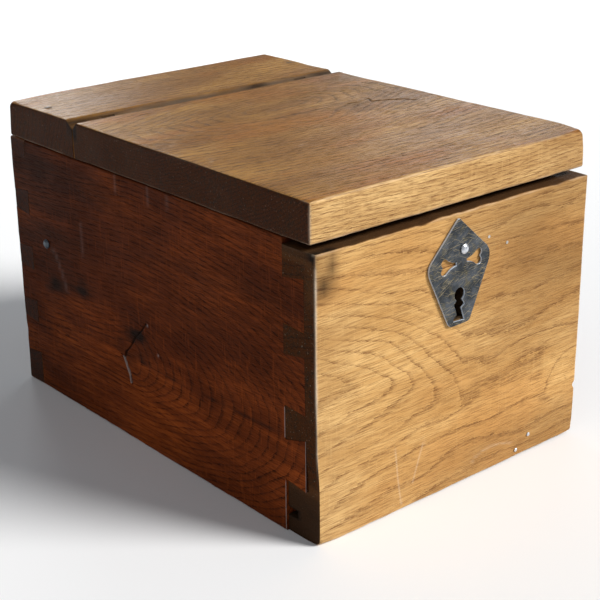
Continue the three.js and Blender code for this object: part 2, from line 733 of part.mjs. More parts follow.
// Two upright guides stand on the plate, each with a window that the bolt's bar slides through.
function boltGuide(x) {
  const rim = 1.5;
  const guide = polygon([
    [lockInside + GAP, BOLT_BAR[0] - GAP - rim],
    [boltY[1] + GAP + rim, BOLT_BAR[0] - GAP - rim],
    [boltY[1] + GAP + rim, BOLT_BAR[1] + GAP + rim],
    [lockInside + GAP, BOLT_BAR[1] + GAP + rim],
  ]);
  guide.holes.push(new THREE.Path(polygon([
    [boltY[0] - GAP, BOLT_BAR[0] - GAP],
    [boltY[1] + GAP, BOLT_BAR[0] - GAP],
    [boltY[1] + GAP, BOLT_BAR[1] + GAP],
    [boltY[0] - GAP, BOLT_BAR[1] + GAP],
  ]).getPoints()));
  return alongX(guide, KEY_X + x, KEY_X + x + GUIDE_WIDTH);
}

Object.entries(GUIDE_PLACES).forEach(([side, x]) => add(`bolt_guide_${side}`, boltGuide(x), LOCK_IRON));

// A leaf spring hooked round the stud, whose free end bears on the top of the bolt's bar.
function springOutline() {
  const half = 0.4;
  const hook = STUD_RADIUS + GAP + half;
  const centre = new THREE.Vector2(...springStud);
  const path = [];
  for (let step = 0; step <= 8; step += 1) {
    const angle = (step / 8) * 1.25 * Math.PI - 0.55;
    path.push(new THREE.Vector2(hook, 0).rotateAround(new THREE.Vector2(), angle).add(centre));
  }
  const leaf = new THREE.QuadraticBezierCurve(
    path.at(-1),
    new THREE.Vector2(KEY_X + 25, BOLT_BAR[1] + 3.6),
    new THREE.Vector2(KEY_X + 12, BOLT_BAR[1] + GAP + half),
  );
  path.push(...leaf.getPoints(8).slice(1));
  const edge = (side) => path.map((point, index) => {
    const before = path[Math.max(index - 1, 0)];
    const after = path[Math.min(index + 1, path.length - 1)];
    const normal = after.clone().sub(before).setLength(half * side);
    return [point.x - normal.y, point.y + normal.x];
  });
  return polygon([...edge(1), ...edge(-1).reverse()]);
}

add('bolt_spring', alongY(springOutline(), ...boltY), BLACK_IRON);

// ---------------------------------------------------------------------------------------------
// Staple under the lid
// ---------------------------------------------------------------------------------------------
const [plateHalfX, plateHalfY] = STAPLE_PLATE_HALF;
add(
  'staple_plate',
  carve(
    block(
      [STAPLE_X - plateHalfX, STAPLE_X + plateHalfX],
      [stapleY - plateHalfY, stapleY + plateHalfY],
      [staplePlateBase, staplePlateTop],
    ),
    [stapleMortise, ...stapleNails.map((at) => nailHole(STAPLE_NAIL, at, UP))],
  ),
  LOCK_IRON,
);

// A flat link with an eye for the bolt's head, round at its foot, and a tang up into the lid.
function stapleOutline() {
  const half = STAPLE_WIDTH / 2;
  const outline = new THREE.Shape();
  outline.moveTo(stapleY + half, STAPLE_FOOT + half);
  outline.lineTo(stapleY + half, LID_UNDERSIDE + STAPLE_TANG);
  outline.lineTo(stapleY - half, LID_UNDERSIDE + STAPLE_TANG);
  outline.lineTo(stapleY - half, STAPLE_FOOT + half);
  outline.absarc(stapleY, STAPLE_FOOT + half, half, Math.PI, 2 * Math.PI, false);
  const eyeHalf = BOLT_THICKNESS / 2 + 1;
  const eyeBase = BOLT_HEAD[0] - 0.8;
  const eyeTop = BOLT_HEAD[1] + 0.8;
  outline.holes.push(new THREE.Path(polygon([
    [stapleY - eyeHalf, eyeBase],
    [stapleY + eyeHalf, eyeBase],
    [stapleY + eyeHalf, eyeTop],
    [stapleY - eyeHalf, eyeTop],
  ]).getPoints()));
  return outline;
}

add(
  'lid_staple',
  alongX(stapleOutline(), STAPLE_X - STAPLE_THICKNESS / 2, STAPLE_X + STAPLE_THICKNESS / 2),
  LOCK_IRON,
);
stapleNails.forEach((at, index) => add(`staple_nail_${index + 1}`, nail(STAPLE_NAIL, at, UP), NAIL_IRON));

export default assembly;
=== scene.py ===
"""The looks of the oak donation box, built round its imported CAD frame.

Sizes inside the functions are millimetres in the CAD frame: X to the right, Y to the rear, Z up.
Each board is a closed mesh made from a grid of planes, worn and cracked by moving the grid's points.
"""

import json
import math
from itertools import product

import bpy
import numpy as np
from mathutils import Matrix, Vector


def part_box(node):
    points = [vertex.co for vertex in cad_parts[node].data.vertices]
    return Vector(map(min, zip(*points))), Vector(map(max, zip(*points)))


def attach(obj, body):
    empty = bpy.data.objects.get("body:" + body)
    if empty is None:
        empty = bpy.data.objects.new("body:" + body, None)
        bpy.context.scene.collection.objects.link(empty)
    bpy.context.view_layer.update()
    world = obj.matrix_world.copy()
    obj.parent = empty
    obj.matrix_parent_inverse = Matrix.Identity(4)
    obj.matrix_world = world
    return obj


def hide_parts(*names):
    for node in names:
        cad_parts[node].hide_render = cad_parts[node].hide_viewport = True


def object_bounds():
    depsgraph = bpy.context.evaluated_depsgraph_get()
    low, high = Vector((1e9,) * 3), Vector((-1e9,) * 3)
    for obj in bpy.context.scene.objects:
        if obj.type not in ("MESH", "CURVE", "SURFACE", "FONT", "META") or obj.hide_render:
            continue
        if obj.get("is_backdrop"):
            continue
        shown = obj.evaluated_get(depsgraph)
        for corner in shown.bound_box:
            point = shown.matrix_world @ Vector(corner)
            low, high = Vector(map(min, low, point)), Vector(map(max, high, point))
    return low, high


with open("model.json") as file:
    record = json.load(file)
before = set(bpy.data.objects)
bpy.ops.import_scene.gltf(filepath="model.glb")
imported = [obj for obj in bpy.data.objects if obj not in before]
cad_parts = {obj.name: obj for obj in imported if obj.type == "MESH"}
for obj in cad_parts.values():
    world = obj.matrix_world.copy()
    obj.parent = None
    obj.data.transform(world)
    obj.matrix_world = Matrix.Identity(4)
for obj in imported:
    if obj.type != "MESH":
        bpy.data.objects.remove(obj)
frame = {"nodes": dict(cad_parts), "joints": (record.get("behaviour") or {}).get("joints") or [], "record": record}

CAD_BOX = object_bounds()
MM = 0.001


def box_mm(node):
    """The lowest and highest corner of a CAD node, in millimetres."""
    return [np.array(corner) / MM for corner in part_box(node)]


def middle_mm(node):
    return np.mean(box_mm(node), axis=0)


# ------------------------------------------------
# Measures taken from the frame
# ------------------------------------------------
FRONT_LOW, FRONT_HIGH = box_mm("front_board")
BACK_LOW, BACK_HIGH = box_mm("back_board")
SIDE_LOW, SIDE_HIGH = box_mm("left_side")
LID_LOW, LID_HIGH = box_mm("lid_board")
STRIP_LOW, STRIP_HIGH = box_mm("rear_strip")
BOTTOM_LOW, BOTTOM_HIGH = box_mm("bottom_board")

LEFT, RIGHT = FRONT_LOW[0], FRONT_HIGH[0]
FRONT, REAR = FRONT_LOW[1], BACK_HIGH[1]
CARCASS_LOW = np.array([LEFT, FRONT, 0.0])
CARCASS_HIGH = np.array([RIGHT, REAR, SIDE_HIGH[2]])
SIDE_THICKNESS = SIDE_HIGH[0] - SIDE_LOW[0]
WIDTH, DEPTH = RIGHT - LEFT, REAR - FRONT

JOINT_GAP = 0.15
FRONT_ROOT = FRONT_HIGH[1] + JOINT_GAP
FRONT_TIP = SIDE_LOW[1]
BACK_ROOT = BACK_LOW[1] - JOINT_GAP

# The groove for the bottom board, and the opening in the wood behind the keyhole.
GROOVE_LOW, GROOVE_HIGH = 10.0, 15.0
GROOVE_DEPTH = 8.0
KEY_X, _, KEY_Z = np.round(middle_mm("key_pin"), 2)
WOOD_KEYHOLE_HALF = 4.6
WOOD_KEYHOLE_TOP, WOOD_KEYHOLE_BOTTOM = KEY_Z + 4.6, KEY_Z - 17.3

# Dovetails: heights of a tail's low and high edge at its root, and how far each moves by its tip.
FRONT_TAILS = [((33, 57), (-2, 5)), ((78, 108), (-1, 3)), ((126, 152), (-1, 3))]
REAR_TAILS = [((24, 46), (-2, 2)), ((62, 84), (-2, 2)), ((101, 123), (-2, 2)), ((140, 161), (-2, 2))]


def from_corner(x, y, z):
    """A place measured from the box's front left bottom corner."""
    return np.array([LEFT + x, FRONT + y, z])


def corner_axes(points):
    """The points' x, y and z measured from the box's front left bottom corner."""
    return (points - from_corner(0, 0, 0)).T


# ------------------------------------------------
# Noise and grids
# ------------------------------------------------
NOISE_SIDE = 32
NOISE = np.random.default_rng(7).uniform(-1, 1, (NOISE_SIDE,) * 3)


def ripple(points, size, shift=0.0):
    """Smooth noise from -1 to 1. size is the length of its features, one number or one an axis."""
    place = points / np.asarray(size, float) + shift
    base = np.floor(place).astype(int)
    blend = place - base
    blend = blend * blend * (3 - 2 * blend)
    total = np.zeros(len(points))
    for corner in product((0, 1), repeat=3):
        weight = np.prod(np.where(corner, blend, 1 - blend), axis=1)
        cell = (base + corner) % NOISE_SIDE
        total += weight * NOISE[cell[:, 0], cell[:, 1], cell[:, 2]]
    return total


def bump_at(distance, size):
    """1 at distance 0, falling smoothly to nothing past the size."""
    return np.exp(-((distance / size) ** 2))


def step_up(value, low, high):
    """0 below low, 1 above high, smooth between."""
    t = np.clip((value - low) / (high - low), 0, 1)
    return t * t * (3 - 2 * t)


# How far the extra planes near an arris are from it, and how close any two planes may come.
ARRIS_RUN = (0.35, 0.8, 1.4, 2.2, 3.4)
CLOSEST = 0.3


def planes(low, high, step, keep=(), fine=()):
    """Positions from low to high a step apart, closer near both ends and in the fine ranges.

    Those in keep are always among them."""
    firm = sorted({float(low), float(high), *(float(k) for k in keep)})
    loose = [low + run for run in ARRIS_RUN] + [high - run for run in ARRIS_RUN]
    loose += list(np.arange(low + 2 * step, high - step, step))
    for start, end, fine_step in fine:
        loose += list(np.arange(start, end, fine_step))
    spots = list(firm)
    for spot in sorted(loose):
        if min(abs(spot - s) for s in spots) > CLOSEST and low < spot < high:
            spots.append(float(spot))
    return np.array(sorted(spots))


def lattice(name, xs, ys, zs, filled, shape):
    """A closed mesh round the filled cells of a grid of planes, its points then moved by shape.

    It returns the piece, its points in millimetres, and their places in the grid before the move."""
    counts = (len(xs), len(ys), len(zs))
    cells = np.zeros([count + 1 for count in counts], bool)
    middles = [(a[1:] + a[:-1]) / 2 for a in (xs, ys, zs)]
    cells[1:-1, 1:-1, 1:-1] = filled(*np.meshgrid(*middles, indexing="ij"))
    quads = []
    for axis in range(3):
        inner = [slice(1, -1)] * 3
        inner[axis] = slice(None, -1)
        before = cells[tuple(inner)]
        inner[axis] = slice(1, None)
        after = cells[tuple(inner)]
        base = np.argwhere(before != after)
        along = np.eye(3, dtype=int)[(axis + 1) % 3]
        across = np.eye(3, dtype=int)[(axis + 2) % 3]
        corners = base[:, None, :] + np.array([0 * along, along, along + across, across])
        inward = ~before[tuple(base.T)]
        corners[inward] = corners[inward][:, ::-1]
        quads.append(np.ravel_multi_index(corners.reshape(-1, 3).T, counts).reshape(-1, 4))
    used, faces = np.unique(np.concatenate(quads), return_inverse=True)
    i, j, k = np.unravel_index(used, counts)
    grid = np.stack([xs[i], ys[j], zs[k]], axis=1)
    points = shape(grid)
    mesh = bpy.data.meshes.new(name)
    mesh.from_pydata((points * MM).tolist(), [], faces.reshape(-1, 4).tolist())
    finish_shading(mesh)
    piece = bpy.data.objects.new(name, mesh)
    bpy.context.scene.collection.objects.link(piece)
    return piece, points, grid


ON_IT = 0.1


def on_plane(grid, axis, place):
    """Whether each point's place in the grid is on one of its planes."""
    return np.abs(grid[:, axis] - place) < ON_IT


def every_cell(x, y, z):
    return np.ones(x.shape, bool)


def finish_shading(mesh, angle=40):
    """Smooth shading, broken where faces meet at more than the angle."""
    mesh.shade_smooth()
    mesh.set_sharp_from_angle(angle=math.radians(angle))


def paint(piece, **fields):
    """Stores numbers at the points for oak, which says what each one does. Iron reads only wear."""
    for name in ("rings", "stain", "wear", "varnish", "gold", "bare"):
        values = np.zeros(len(piece.data.vertices), np.float32)
        values += fields.get(name, 0)
        layer = piece.data.attributes.new(name, "FLOAT", "POINT")
        layer.data.foreach_set("value", values)


# ------------------------------------------------
# Wear
# ------------------------------------------------
def round_arrises(points, low, high, radius):
    """Rounds the arrises of the box from low to high by a radius that varies from point to point."""
    radius = np.broadcast_to(radius, len(points))[:, None]
    core = np.clip(points, low + radius, high - radius)
    away = points - core
    reach = np.linalg.norm(away, axis=1, keepdims=True)
    return core + away * np.where(reach > radius, radius / np.maximum(reach, 1e-9), 1)


def near(points, place, size):
    """1 at a place, falling smoothly to nothing past the size."""
    return bump_at(np.linalg.norm(points - place, axis=1), size)


def carcass_radius(points):
    """How round the carcass's outer arrises are: worn unevenly, and more at some corners."""
    radius = 1.1 + 0.5 * ripple(points, 22) + 0.25 * ripple(points, 6, 3.1)
    radius += 3.6 * near(points, from_corner(0, 0, 0), 12)
    radius += 1.2 * near(points, from_corner(0, 0, 168), 14)
    radius += 1.5 * near(points, [RIGHT, FRONT, 0], 12)
    radius += 1.6 * near(points, [LEFT, REAR, 36], 4)
    return np.clip(radius, 0.5, 8)


def wear_carcass(points):
    return round_arrises(points, CARCASS_LOW, CARCASS_HIGH, carcass_radius(points))


def sink(points, axis, face, amount, depth=6.0):
    """Moves the points near a face inward by an amount, fading out a few millimetres under it."""
    inward = 1 if face < 0 else -1
    under = np.abs(points[:, axis] - face)
    moved = points.copy()
    moved[:, axis] += inward * amount * (1 - step_up(under, 0, depth))
    return moved


def path_distance(u, v, path):
    """Distance in a plane from each point to the nearest stretch of a path."""
    spots = np.stack([u, v], axis=1)
    best = np.full(len(spots), 1e9)
    for start, end in zip(path, path[1:]):
        start, run = np.array(start, float), np.subtract(end, start).astype(float)
        share = np.clip((spots - start) @ run / (run @ run), 0, 1)
        best = np.minimum(best, np.linalg.norm(spots - start - share[:, None] * run, axis=1))
    return best


def dovetail(points, tails, root_y, tip_y, fade):
    """Slants the levels at each tail's edges as they run from the root to the tip."""
    knots, moves = [tails[0][0][0] - fade], [0]
    for (low, high), (low_move, high_move) in tails:
        knots += [low, high]
        moves += [low_move, high_move]
    knots.append(tails[-1][0][1] + fade)
    moves.append(0)
    share = np.clip((points[:, 1] - root_y) / (tip_y - root_y), 0, 1)
    moved = points.copy()
    moved[:, 2] += share * np.interp(points[:, 2], knots, moves)
    return moved


def tail_levels(tails, spare=0.0):
    """The heights of the tails' edges, with a spare width round each tail."""
    return [edge for (low, high), _ in tails for edge in (low - spare, high + spare)]


def in_tail(z, tails, spare=0.0):
    """Whether each height is within a tail, or within the spare width round it."""
    hit = np.zeros(z.shape, bool)
    for (low, high), _ in tails:
        hit |= (z > low - spare) & (z < high + spare)
    return hit


# ------------------------------------------------
# Growth rings: a number that rises by one from ring to ring
# ------------------------------------------------
def cone_rings(across, depth, spacing):
    """Rings round a pith that lies some way across and some depth under the surface."""
    return np.hypot(across, depth) / spacing


def knot_push(u, v, centre, size, push):
    """How far the grain is pushed sideways as it flows round a knot."""
    du, dv = (u - centre[0]) / size[0], (v - centre[1]) / size[1]
    return push * dv * np.exp(-(du**2) - dv**2)


# ------------------------------------------------
# Boards
# ------------------------------------------------
SCRATCHES = [
    [(59, 39), (61, 22), (64, 4)],
    [(81, 38), (77, 27), (73, 15)],
    [(122, 10), (127, 13.6), (133, 15.2), (140, 15.6), (148, 14.4), (154, 12.6), (158, 11)],
]


def front_rings(p):
    """Pointed arches nested from the left, level lines on the right, and a plain eye low down."""
    x, y, z = corner_axes(p)
    run = np.minimum(x, 112) * (1 - 0.9 * np.clip((z - 58) / 100, 0, 1))
    pith = 98 - 0.38 * run
    across = (z - pith) * np.where(z < pith, 0.5, 1.0) + 2.0 * ripple(p, (30, 30, 18), 1.0)
    rings = (np.hypot(across, 5 + 0.5 * y) + 0.25 * run) / 6 + 0.4 * ripple(p, (60, 30, 14), 4.0)
    eye = 1 - step_up(np.hypot((x - 222) / 33, (z - 43) / 17), 0.7, 1.3)
    return rings * (1 - eye) + 7.4 * eye


def front_board():
    """The front, with its keyhole, sockets and groove. Its low left, right and top edges are worn."""
    inner = SIDE_THICKNESS + JOINT_GAP
    socket_face = FRONT_TIP - JOINT_GAP
    groove_face = FRONT_HIGH[1] - GROOVE_DEPTH
    xs = planes(
        LEFT, RIGHT, 3,
        keep=[LEFT + inner, RIGHT - inner, KEY_X - WOOD_KEYHOLE_HALF, KEY_X + WOOD_KEYHOLE_HALF],
        fine=[(LEFT + 58.5, LEFT + 64.5, 0.5), (LEFT + 72.5, LEFT + 81.5, 0.5)],
    )
    ys = planes(FRONT, FRONT_HIGH[1], 5, keep=[socket_face, groove_face])
    zs = planes(
        0, FRONT_HIGH[2], 3,
        keep=[
            *tail_levels(FRONT_TAILS, JOINT_GAP), GROOVE_LOW, GROOVE_HIGH,
            WOOD_KEYHOLE_BOTTOM, WOOD_KEYHOLE_TOP,
        ],
        fine=[(4, 26, 1.2), (26, 38, 0.8)],
    )

    def filled(x, y, z):
        in_end = (np.abs(x) > RIGHT - inner) & (y > socket_face)
        socket = in_end & in_tail(z, FRONT_TAILS, JOINT_GAP)
        groove = (y > groove_face) & (z > GROOVE_LOW) & (z < GROOVE_HIGH)
        beside = np.abs(x - KEY_X) < WOOD_KEYHOLE_HALF
        keyhole = beside & (z > WOOD_KEYHOLE_BOTTOM) & (z < WOOD_KEYHOLE_TOP)
        return ~(socket | groove | keyhole)

    def shape(p):
        p = dovetail(p, FRONT_TAILS, FRONT_ROOT, FRONT_TIP, 9)
        z = p[:, 2].copy()
        stand_in = 1.5 * (1 - step_up(z, 30, 62)) + 0.5 * (1 - step_up(z, 60, 100)) + 0.1
        p = sink(p, 0, LEFT, stand_in, depth=4)
        chip = 2.6 * bump_at(z - 33.5, 2.2) + 1.0 * (1 - step_up(z, 29, 34)) + 0.3 + 0.3 * ripple(p, 14)
        p = sink(p, 0, RIGHT, chip, depth=14)
        top_wear = 0.5 + 0.6 * ripple(p, (16, 40, 40), 2.0) + 0.4 * ripple(p, (5, 30, 30), 4.0)
        top_wear += 1.0 * near(p, from_corner(78, 0, 170), 6)
        p = sink(p, 2, FRONT_HIGH[2], np.clip(top_wear, 0, 3), depth=8)
        x_run = p[:, 0] - LEFT
        lift = step_up(x_run, 21, 22.5) * (0.7 + 0.25 * ripple(p, 11)) + 1.1 * x_run / WIDTH
        moved = p.copy()
        moved[:, 2] += lift * (1 - step_up(z, 0, 9))
        # Past the board at its foot and inner face, so that only its other arrises are rounded.
        low, high = FRONT_LOW - [0, 0, 60], FRONT_HIGH + [0, 40, 0]
        moved = round_arrises(moved, low, high, 1.0 + 0.4 * ripple(p, 12, 5.0))
        moved = wear_carcass(moved)
        return sink(moved, 1, FRONT, 0.2 + 0.2 * ripple(moved, (60, 60, 25), 1.3), depth=9)

    piece, p, grid = lattice("front_board_worn", xs, ys, zs, filled, shape)
    x, y, z = corner_axes(p)
    left_end = on_plane(grid, 0, LEFT)
    inside = on_plane(grid, 1, FRONT_HIGH[1])
    # Painted shade on the front board's top face under the lid, given through the stain and the dark end-grain
    # colour.
    shade_under_lid = step_up(y, 0.6, 2.2) * step_up(z, 163, 167)
    scratches = sum(0.24 * bump_at(path_distance(x, z, path), 0.6) for path in SCRATCHES) * (y < 2)
    top_edge = np.where(z > 164, 0.35 + 0.5 * bump_at(x - 95, 25), 1.25)
    top_edge *= np.where((x < 4) & (y > 3), 0.15, 1)
    bleached = (1 - step_up(x, 10, 50)) * (1 - step_up(z, 128, 150))
    bleached *= 0.85 + 0.3 * ripple(p, (40, 40, 12), 3.0)
    paint(
        piece, rings=front_rings(p), stain=front_stain(p, grid, left_end, shade_under_lid),
        wear=arris_wear(p, CARCASS_LOW, [RIGHT, 1e3, FRONT_HIGH[2]]) * top_edge + scratches,
        varnish=np.maximum(left_end, 0.9 * shade_under_lid * (1 - inside)),
        gold=np.clip(bleached, 0, 1) * (y < 2), bare=inside,
    )
    return piece


def front_stain(p, grid, left_end, shade_under_lid):
    """Handling smudge at the top left, soot low on the left end, a foot darkened by dirt and a painted shadow, a
    darker upper right, and painted shade under the lid and in the keyhole.
    """
    x, y, z = corner_axes(p)
    smudge = (1 - step_up(x, 11, 20)) * step_up(z, 138, 151) * (0.66 + 0.3 * ripple(p, (6, 6, 9), 2.0))
    smudge *= 1 - step_up(y, 2, 5)
    sooty_end = 0.75 * (1 - step_up(z, 26, 40)) * left_end
    # The foot is darker, more so towards the right: partly dirt, partly a painted shadow.
    foot = (0.14 + 0.2 * step_up(x, 60, 130)) * (1 - step_up(z, 14, 40))
    # Darker towards the upper right, with a band at about the keyhole's height.
    right = step_up(x, 70, 170) * step_up(z, 50, 85) * (0.34 + 0.16 * ripple(p, (50, 30, 16), 7.0))
    right += 0.22 * step_up(x, 100, 190) * bump_at(z - 122, 20)
    right *= 1 - shade_under_lid
    # Painted shade round and inside the keyhole's opening in the wood.
    beside_keyhole = np.abs(p[:, 0] - KEY_X) < 6
    keyhole_shade = beside_keyhole & (z > KEY_Z - 18) & (z < KEY_Z + 6)
    at_groove = (grid[:, 2] > GROOVE_LOW - ON_IT) & (grid[:, 2] < GROOVE_HIGH + ON_IT)
    in_groove = (grid[:, 1] > FRONT_HIGH[1] - GROOVE_DEPTH - ON_IT) & at_groove
    return np.clip(smudge + sooty_end + foot + right + 0.75 * shade_under_lid + keyhole_shade + in_groove, 0, 1)


def arris_wear(points, low, high):
    """1 on an arris of a box, 0 away from it, broken up along its length."""
    gaps = np.sort(np.minimum(np.abs(points - low), np.abs(points - high)), axis=1)
    breaks = 0.7 + 0.6 * ripple(points, 8, 9.0)
    return bump_at(gaps[:, 1], 0.9) * np.clip(breaks, 0, 1)


KNOT = (172.0, 60.0)
CRACKS = [
    [(158, 85), (163, 79), (170, 73), (177, 64), (182, 59)],
    [(182, 59), (184, 54), (181, 49), (178, 44), (177, 39)],
]
CRACK_WIDTHS = (0.6, 0.8)
CRACK_DEPTHS = (1.2, 3.0)
CHIPS = [(147, 67.5), (157, 84)]


def side_rings(p, side):
    """Ovals round the knot towards the front, and lines sloping gently down to the rear."""
    x, y, z = corner_axes(p)
    inside = x if side < 0 else WIDTH - x
    ahead = np.maximum(KNOT[0] - y, 0)
    behind = np.maximum(y - KNOT[0], 0)
    across = z - 58 + 0.09 * behind + knot_push(y, z, KNOT, (26, 22), -14)
    depth = 4 + 0.38 * ahead + 0.9 * inside + 1.6 * ripple(p, (30, 30, 20), 5.0)
    return cone_rings(across, depth, 3.3) + 0.35 * ripple(p, (30, 70, 18), 2.0)


def near_spot(u, v, spot, size):
    return bump_at(np.hypot(u - spot[0], v - spot[1]), size)


def left_grime_and_shade(p):
    """Smoke-dark knot, iron stains under the nail, a dark grain line, the cracks, and painted shade that darkens
    the top and the rear.
    """
    _, y, z = corner_axes(p)
    knot = 0.8 * bump_at(np.hypot((y - 168) / 1.5, z - 74), 9) + 0.4 * near_spot(y, z, (205, 63), 5)
    knot += 0.5 * bump_at(np.hypot((y - KNOT[0]) / 2.2, z - 62), 12)
    below_nail = 0.9 * bump_at(np.hypot((y - 263) / 1.7, z - 79), 7)
    below_nail += 0.9 * bump_at(np.hypot((y - 234) / 2.0, z - 88), 6)
    # Painted shade: the board grows darker towards the rear and the top.
    rear = 0.42 * step_up(y, 170, 290)
    top = 0.42 * step_up(z, 55, 120) + 0.14 * step_up(z, 110, 174) * step_up(y, 60, 200)
    grime = (knot + below_nail) * (0.75 + 0.7 * ripple(p, (9, 12, 5), 6.0))
    grime += (rear + top) * (0.8 + 0.4 * ripple(p, (20, 50, 9), 6.0))
    line = bump_at(path_distance(y, z, [(166, 57), (120, 57), (40, 59), (30, 60)]), 1.4)
    grime += 0.65 * line * step_up(ripple(p, 10, 8.0), -0.7, 0.5)
    for path, width in zip(CRACKS, CRACK_WIDTHS):
        grime += 0.75 * bump_at(path_distance(y, z, path), 1.1 * width)
    return np.clip(grime, 0, 1)


def left_rubs_and_highlights(p):
    """A painted highlight on the crack's lip, small chips, pale rays and the run under the nail."""
    _, y, z = corner_axes(p)
    # Painted highlight along one lip of the crack's lower branch.
    rubs_and_highlights = 0.8 * bump_at(path_distance(y - 1.2, z, [(184, 55), (181, 49), (178, 44), (177, 39)]), 0.4)
    rubs_and_highlights += 0.09 * bump_at(path_distance(y, z, [(264, 106), (259, 103), (252, 90), (248, 80)]), 1.6)
    rubs_and_highlights += sum(0.6 * near_spot(y, z, chip, 0.8) for chip in CHIPS)
    for top, bottom, at_y in ((174, 163, 183), (174, 163, 149), (172, 166, 129), (132, 112, 225)):
        rubs_and_highlights += 0.07 * bump_at(path_distance(y, z, [(at_y, top), (at_y, bottom)]), 1.4)
    return rubs_and_highlights


def proud_edge_highlights(grid):
    """Edges of the left board's tails that stand proud of the pins, with a painted highlight on them."""
    outer = on_plane(grid, 0, LEFT)
    root = on_plane(grid, 1, FRONT_ROOT)
    tip = on_plane(grid, 1, FRONT_TIP)
    z = grid[:, 2]
    low_shoulders = (z < 32) | ((z > 58) & (z < 77))
    lowest_tail = (z > 31) & (z < 60)
    return 0.75 * (outer & ((root & low_shoulders) | (tip & lowest_tail)))


def side_board(name, side):
    """side is -1 for the left board, which has the knot and its cracks, and 1 for the right one."""
    outer = LEFT if side < 0 else RIGHT
    inner_face = outer - side * SIDE_THICKNESS
    low_x, high_x = sorted((outer, inner_face))
    cracked = side < 0
    crack_y = [(FRONT + 145, FRONT + 188, 0.5)] if cracked else []
    crack_z = [(37, 87, 0.5)] if cracked else []
    xs = planes(low_x, high_x, 6, keep=[inner_face + side * GROOVE_DEPTH])
    shoulder = (FRONT_ROOT + 0.6, FRONT_ROOT + 2, 0.6)
    ys = planes(FRONT_TIP, REAR, 3, keep=[FRONT_ROOT, BACK_ROOT], fine=[*crack_y, shoulder])
    zs = planes(
        0, SIDE_HIGH[2], 3,
        keep=[*tail_levels(FRONT_TAILS), *tail_levels(REAR_TAILS), GROOVE_LOW, GROOVE_HIGH],
        fine=crack_z,
    )

    def filled(x, y, z):
        body = (y > FRONT_ROOT) & (y < BACK_ROOT)
        front_tail = (y < FRONT_ROOT) & in_tail(z, FRONT_TAILS)
        rear_tail = (y > BACK_ROOT) & in_tail(z, REAR_TAILS)
        groove = body & (np.abs(x - inner_face) < GROOVE_DEPTH) & (z > GROOVE_LOW) & (z < GROOVE_HIGH)
        return (body | front_tail | rear_tail) & ~groove

    def shape(p):
        p = dovetail(p, FRONT_TAILS, FRONT_ROOT, FRONT_TIP, 9)
        p = dovetail(p, REAR_TAILS, BACK_ROOT, REAR, 9)
        p = wear_carcass(p)
        hollow = 0.25 + 0.25 * ripple(p, (80, 70, 40), 7.0 * side)
        if cracked:
            y, z = p[:, 1] - FRONT, p[:, 2]
            hollow = hollow + 0.7 * bump_at(np.hypot(y - KNOT[0], z - KNOT[1]), 18)
            for path, width, depth in zip(CRACKS, CRACK_WIDTHS, CRACK_DEPTHS):
                ragged = width * (1 + 0.5 * ripple(p, 2.5, 1.0))
                hollow = hollow + depth * np.clip(1 - path_distance(y, z, path) / ragged, 0, 1)
            hollow = hollow + sum(1.0 * near_spot(y, z, chip, 1.2) for chip in CHIPS)
        return sink(p, 0, outer, hollow, depth=5)

    piece, p, grid = lattice(name, xs, ys, zs, filled, shape)
    # Rubbed arrises, and on the left board painted highlights as well.
    rubs_and_highlights = 0.2 * arris_wear(p, CARCASS_LOW, CARCASS_HIGH) * (p[:, 2] < 168)
    if cracked:
        rubs_and_highlights = rubs_and_highlights + left_rubs_and_highlights(p) * on_plane(grid, 0, LEFT) + proud_edge_highlights(grid)
        grime = left_grime_and_shade(p)
    else:
        grime = 0.3 * step_up(ripple(p, (25, 60, 14), 3.0), 0.0, 0.9)
    inside = on_plane(grid, 0, inner_face)
    # Painted shade on the side board's top face under the lid.
    shade_under_lid = 0.6 * on_plane(grid, 2, SIDE_HIGH[2])
    paint(
        piece, rings=side_rings(p, side), stain=np.maximum(grime * (1 - inside), shade_under_lid), wear=rubs_and_highlights,
        varnish=on_plane(grid, 1, FRONT_TIP), bare=inside,
    )
    return piece


def back_board():
    """The back, with through sockets for the sides' rear tails."""
    inner = SIDE_THICKNESS + JOINT_GAP
    xs = planes(LEFT, RIGHT, 4, keep=[LEFT + inner, RIGHT - inner])
    ys = planes(BACK_LOW[1], REAR, 5)
    zs = planes(0, BACK_HIGH[2], 4, keep=tail_levels(REAR_TAILS, JOINT_GAP))

    def filled(x, y, z):
        return ~((np.abs(x) > RIGHT - inner) & in_tail(z, REAR_TAILS, JOINT_GAP))

    def shape(p):
        p = dovetail(p, REAR_TAILS, BACK_ROOT, REAR, 9)
        p = wear_carcass(p)
        return sink(p, 1, REAR, 0.35 + 0.35 * ripple(p, (70, 60, 30), 3.0))

    piece, p, grid = lattice("back_board_worn", xs, ys, zs, filled, shape)
    x, y, z = corner_axes(p)
    rings = cone_rings(z - 60 + 8 * ripple(p, (120, 50, 50)), 8 + 0.35 * x + (DEPTH - y), 5.0)
    grime = 0.35 * step_up(ripple(p, (60, 25, 14), 5.0), 0.0, 0.9)
    paint(
        piece, rings=rings + 0.5 * ripple(p, (60, 20, 20), 4.0), stain=grime,
        wear=arris_wear(p, CARCASS_LOW, CARCASS_HIGH),
        varnish=on_plane(grid, 0, LEFT) | on_plane(grid, 0, RIGHT), bare=on_plane(grid, 1, BACK_LOW[1]),
    )
    return piece


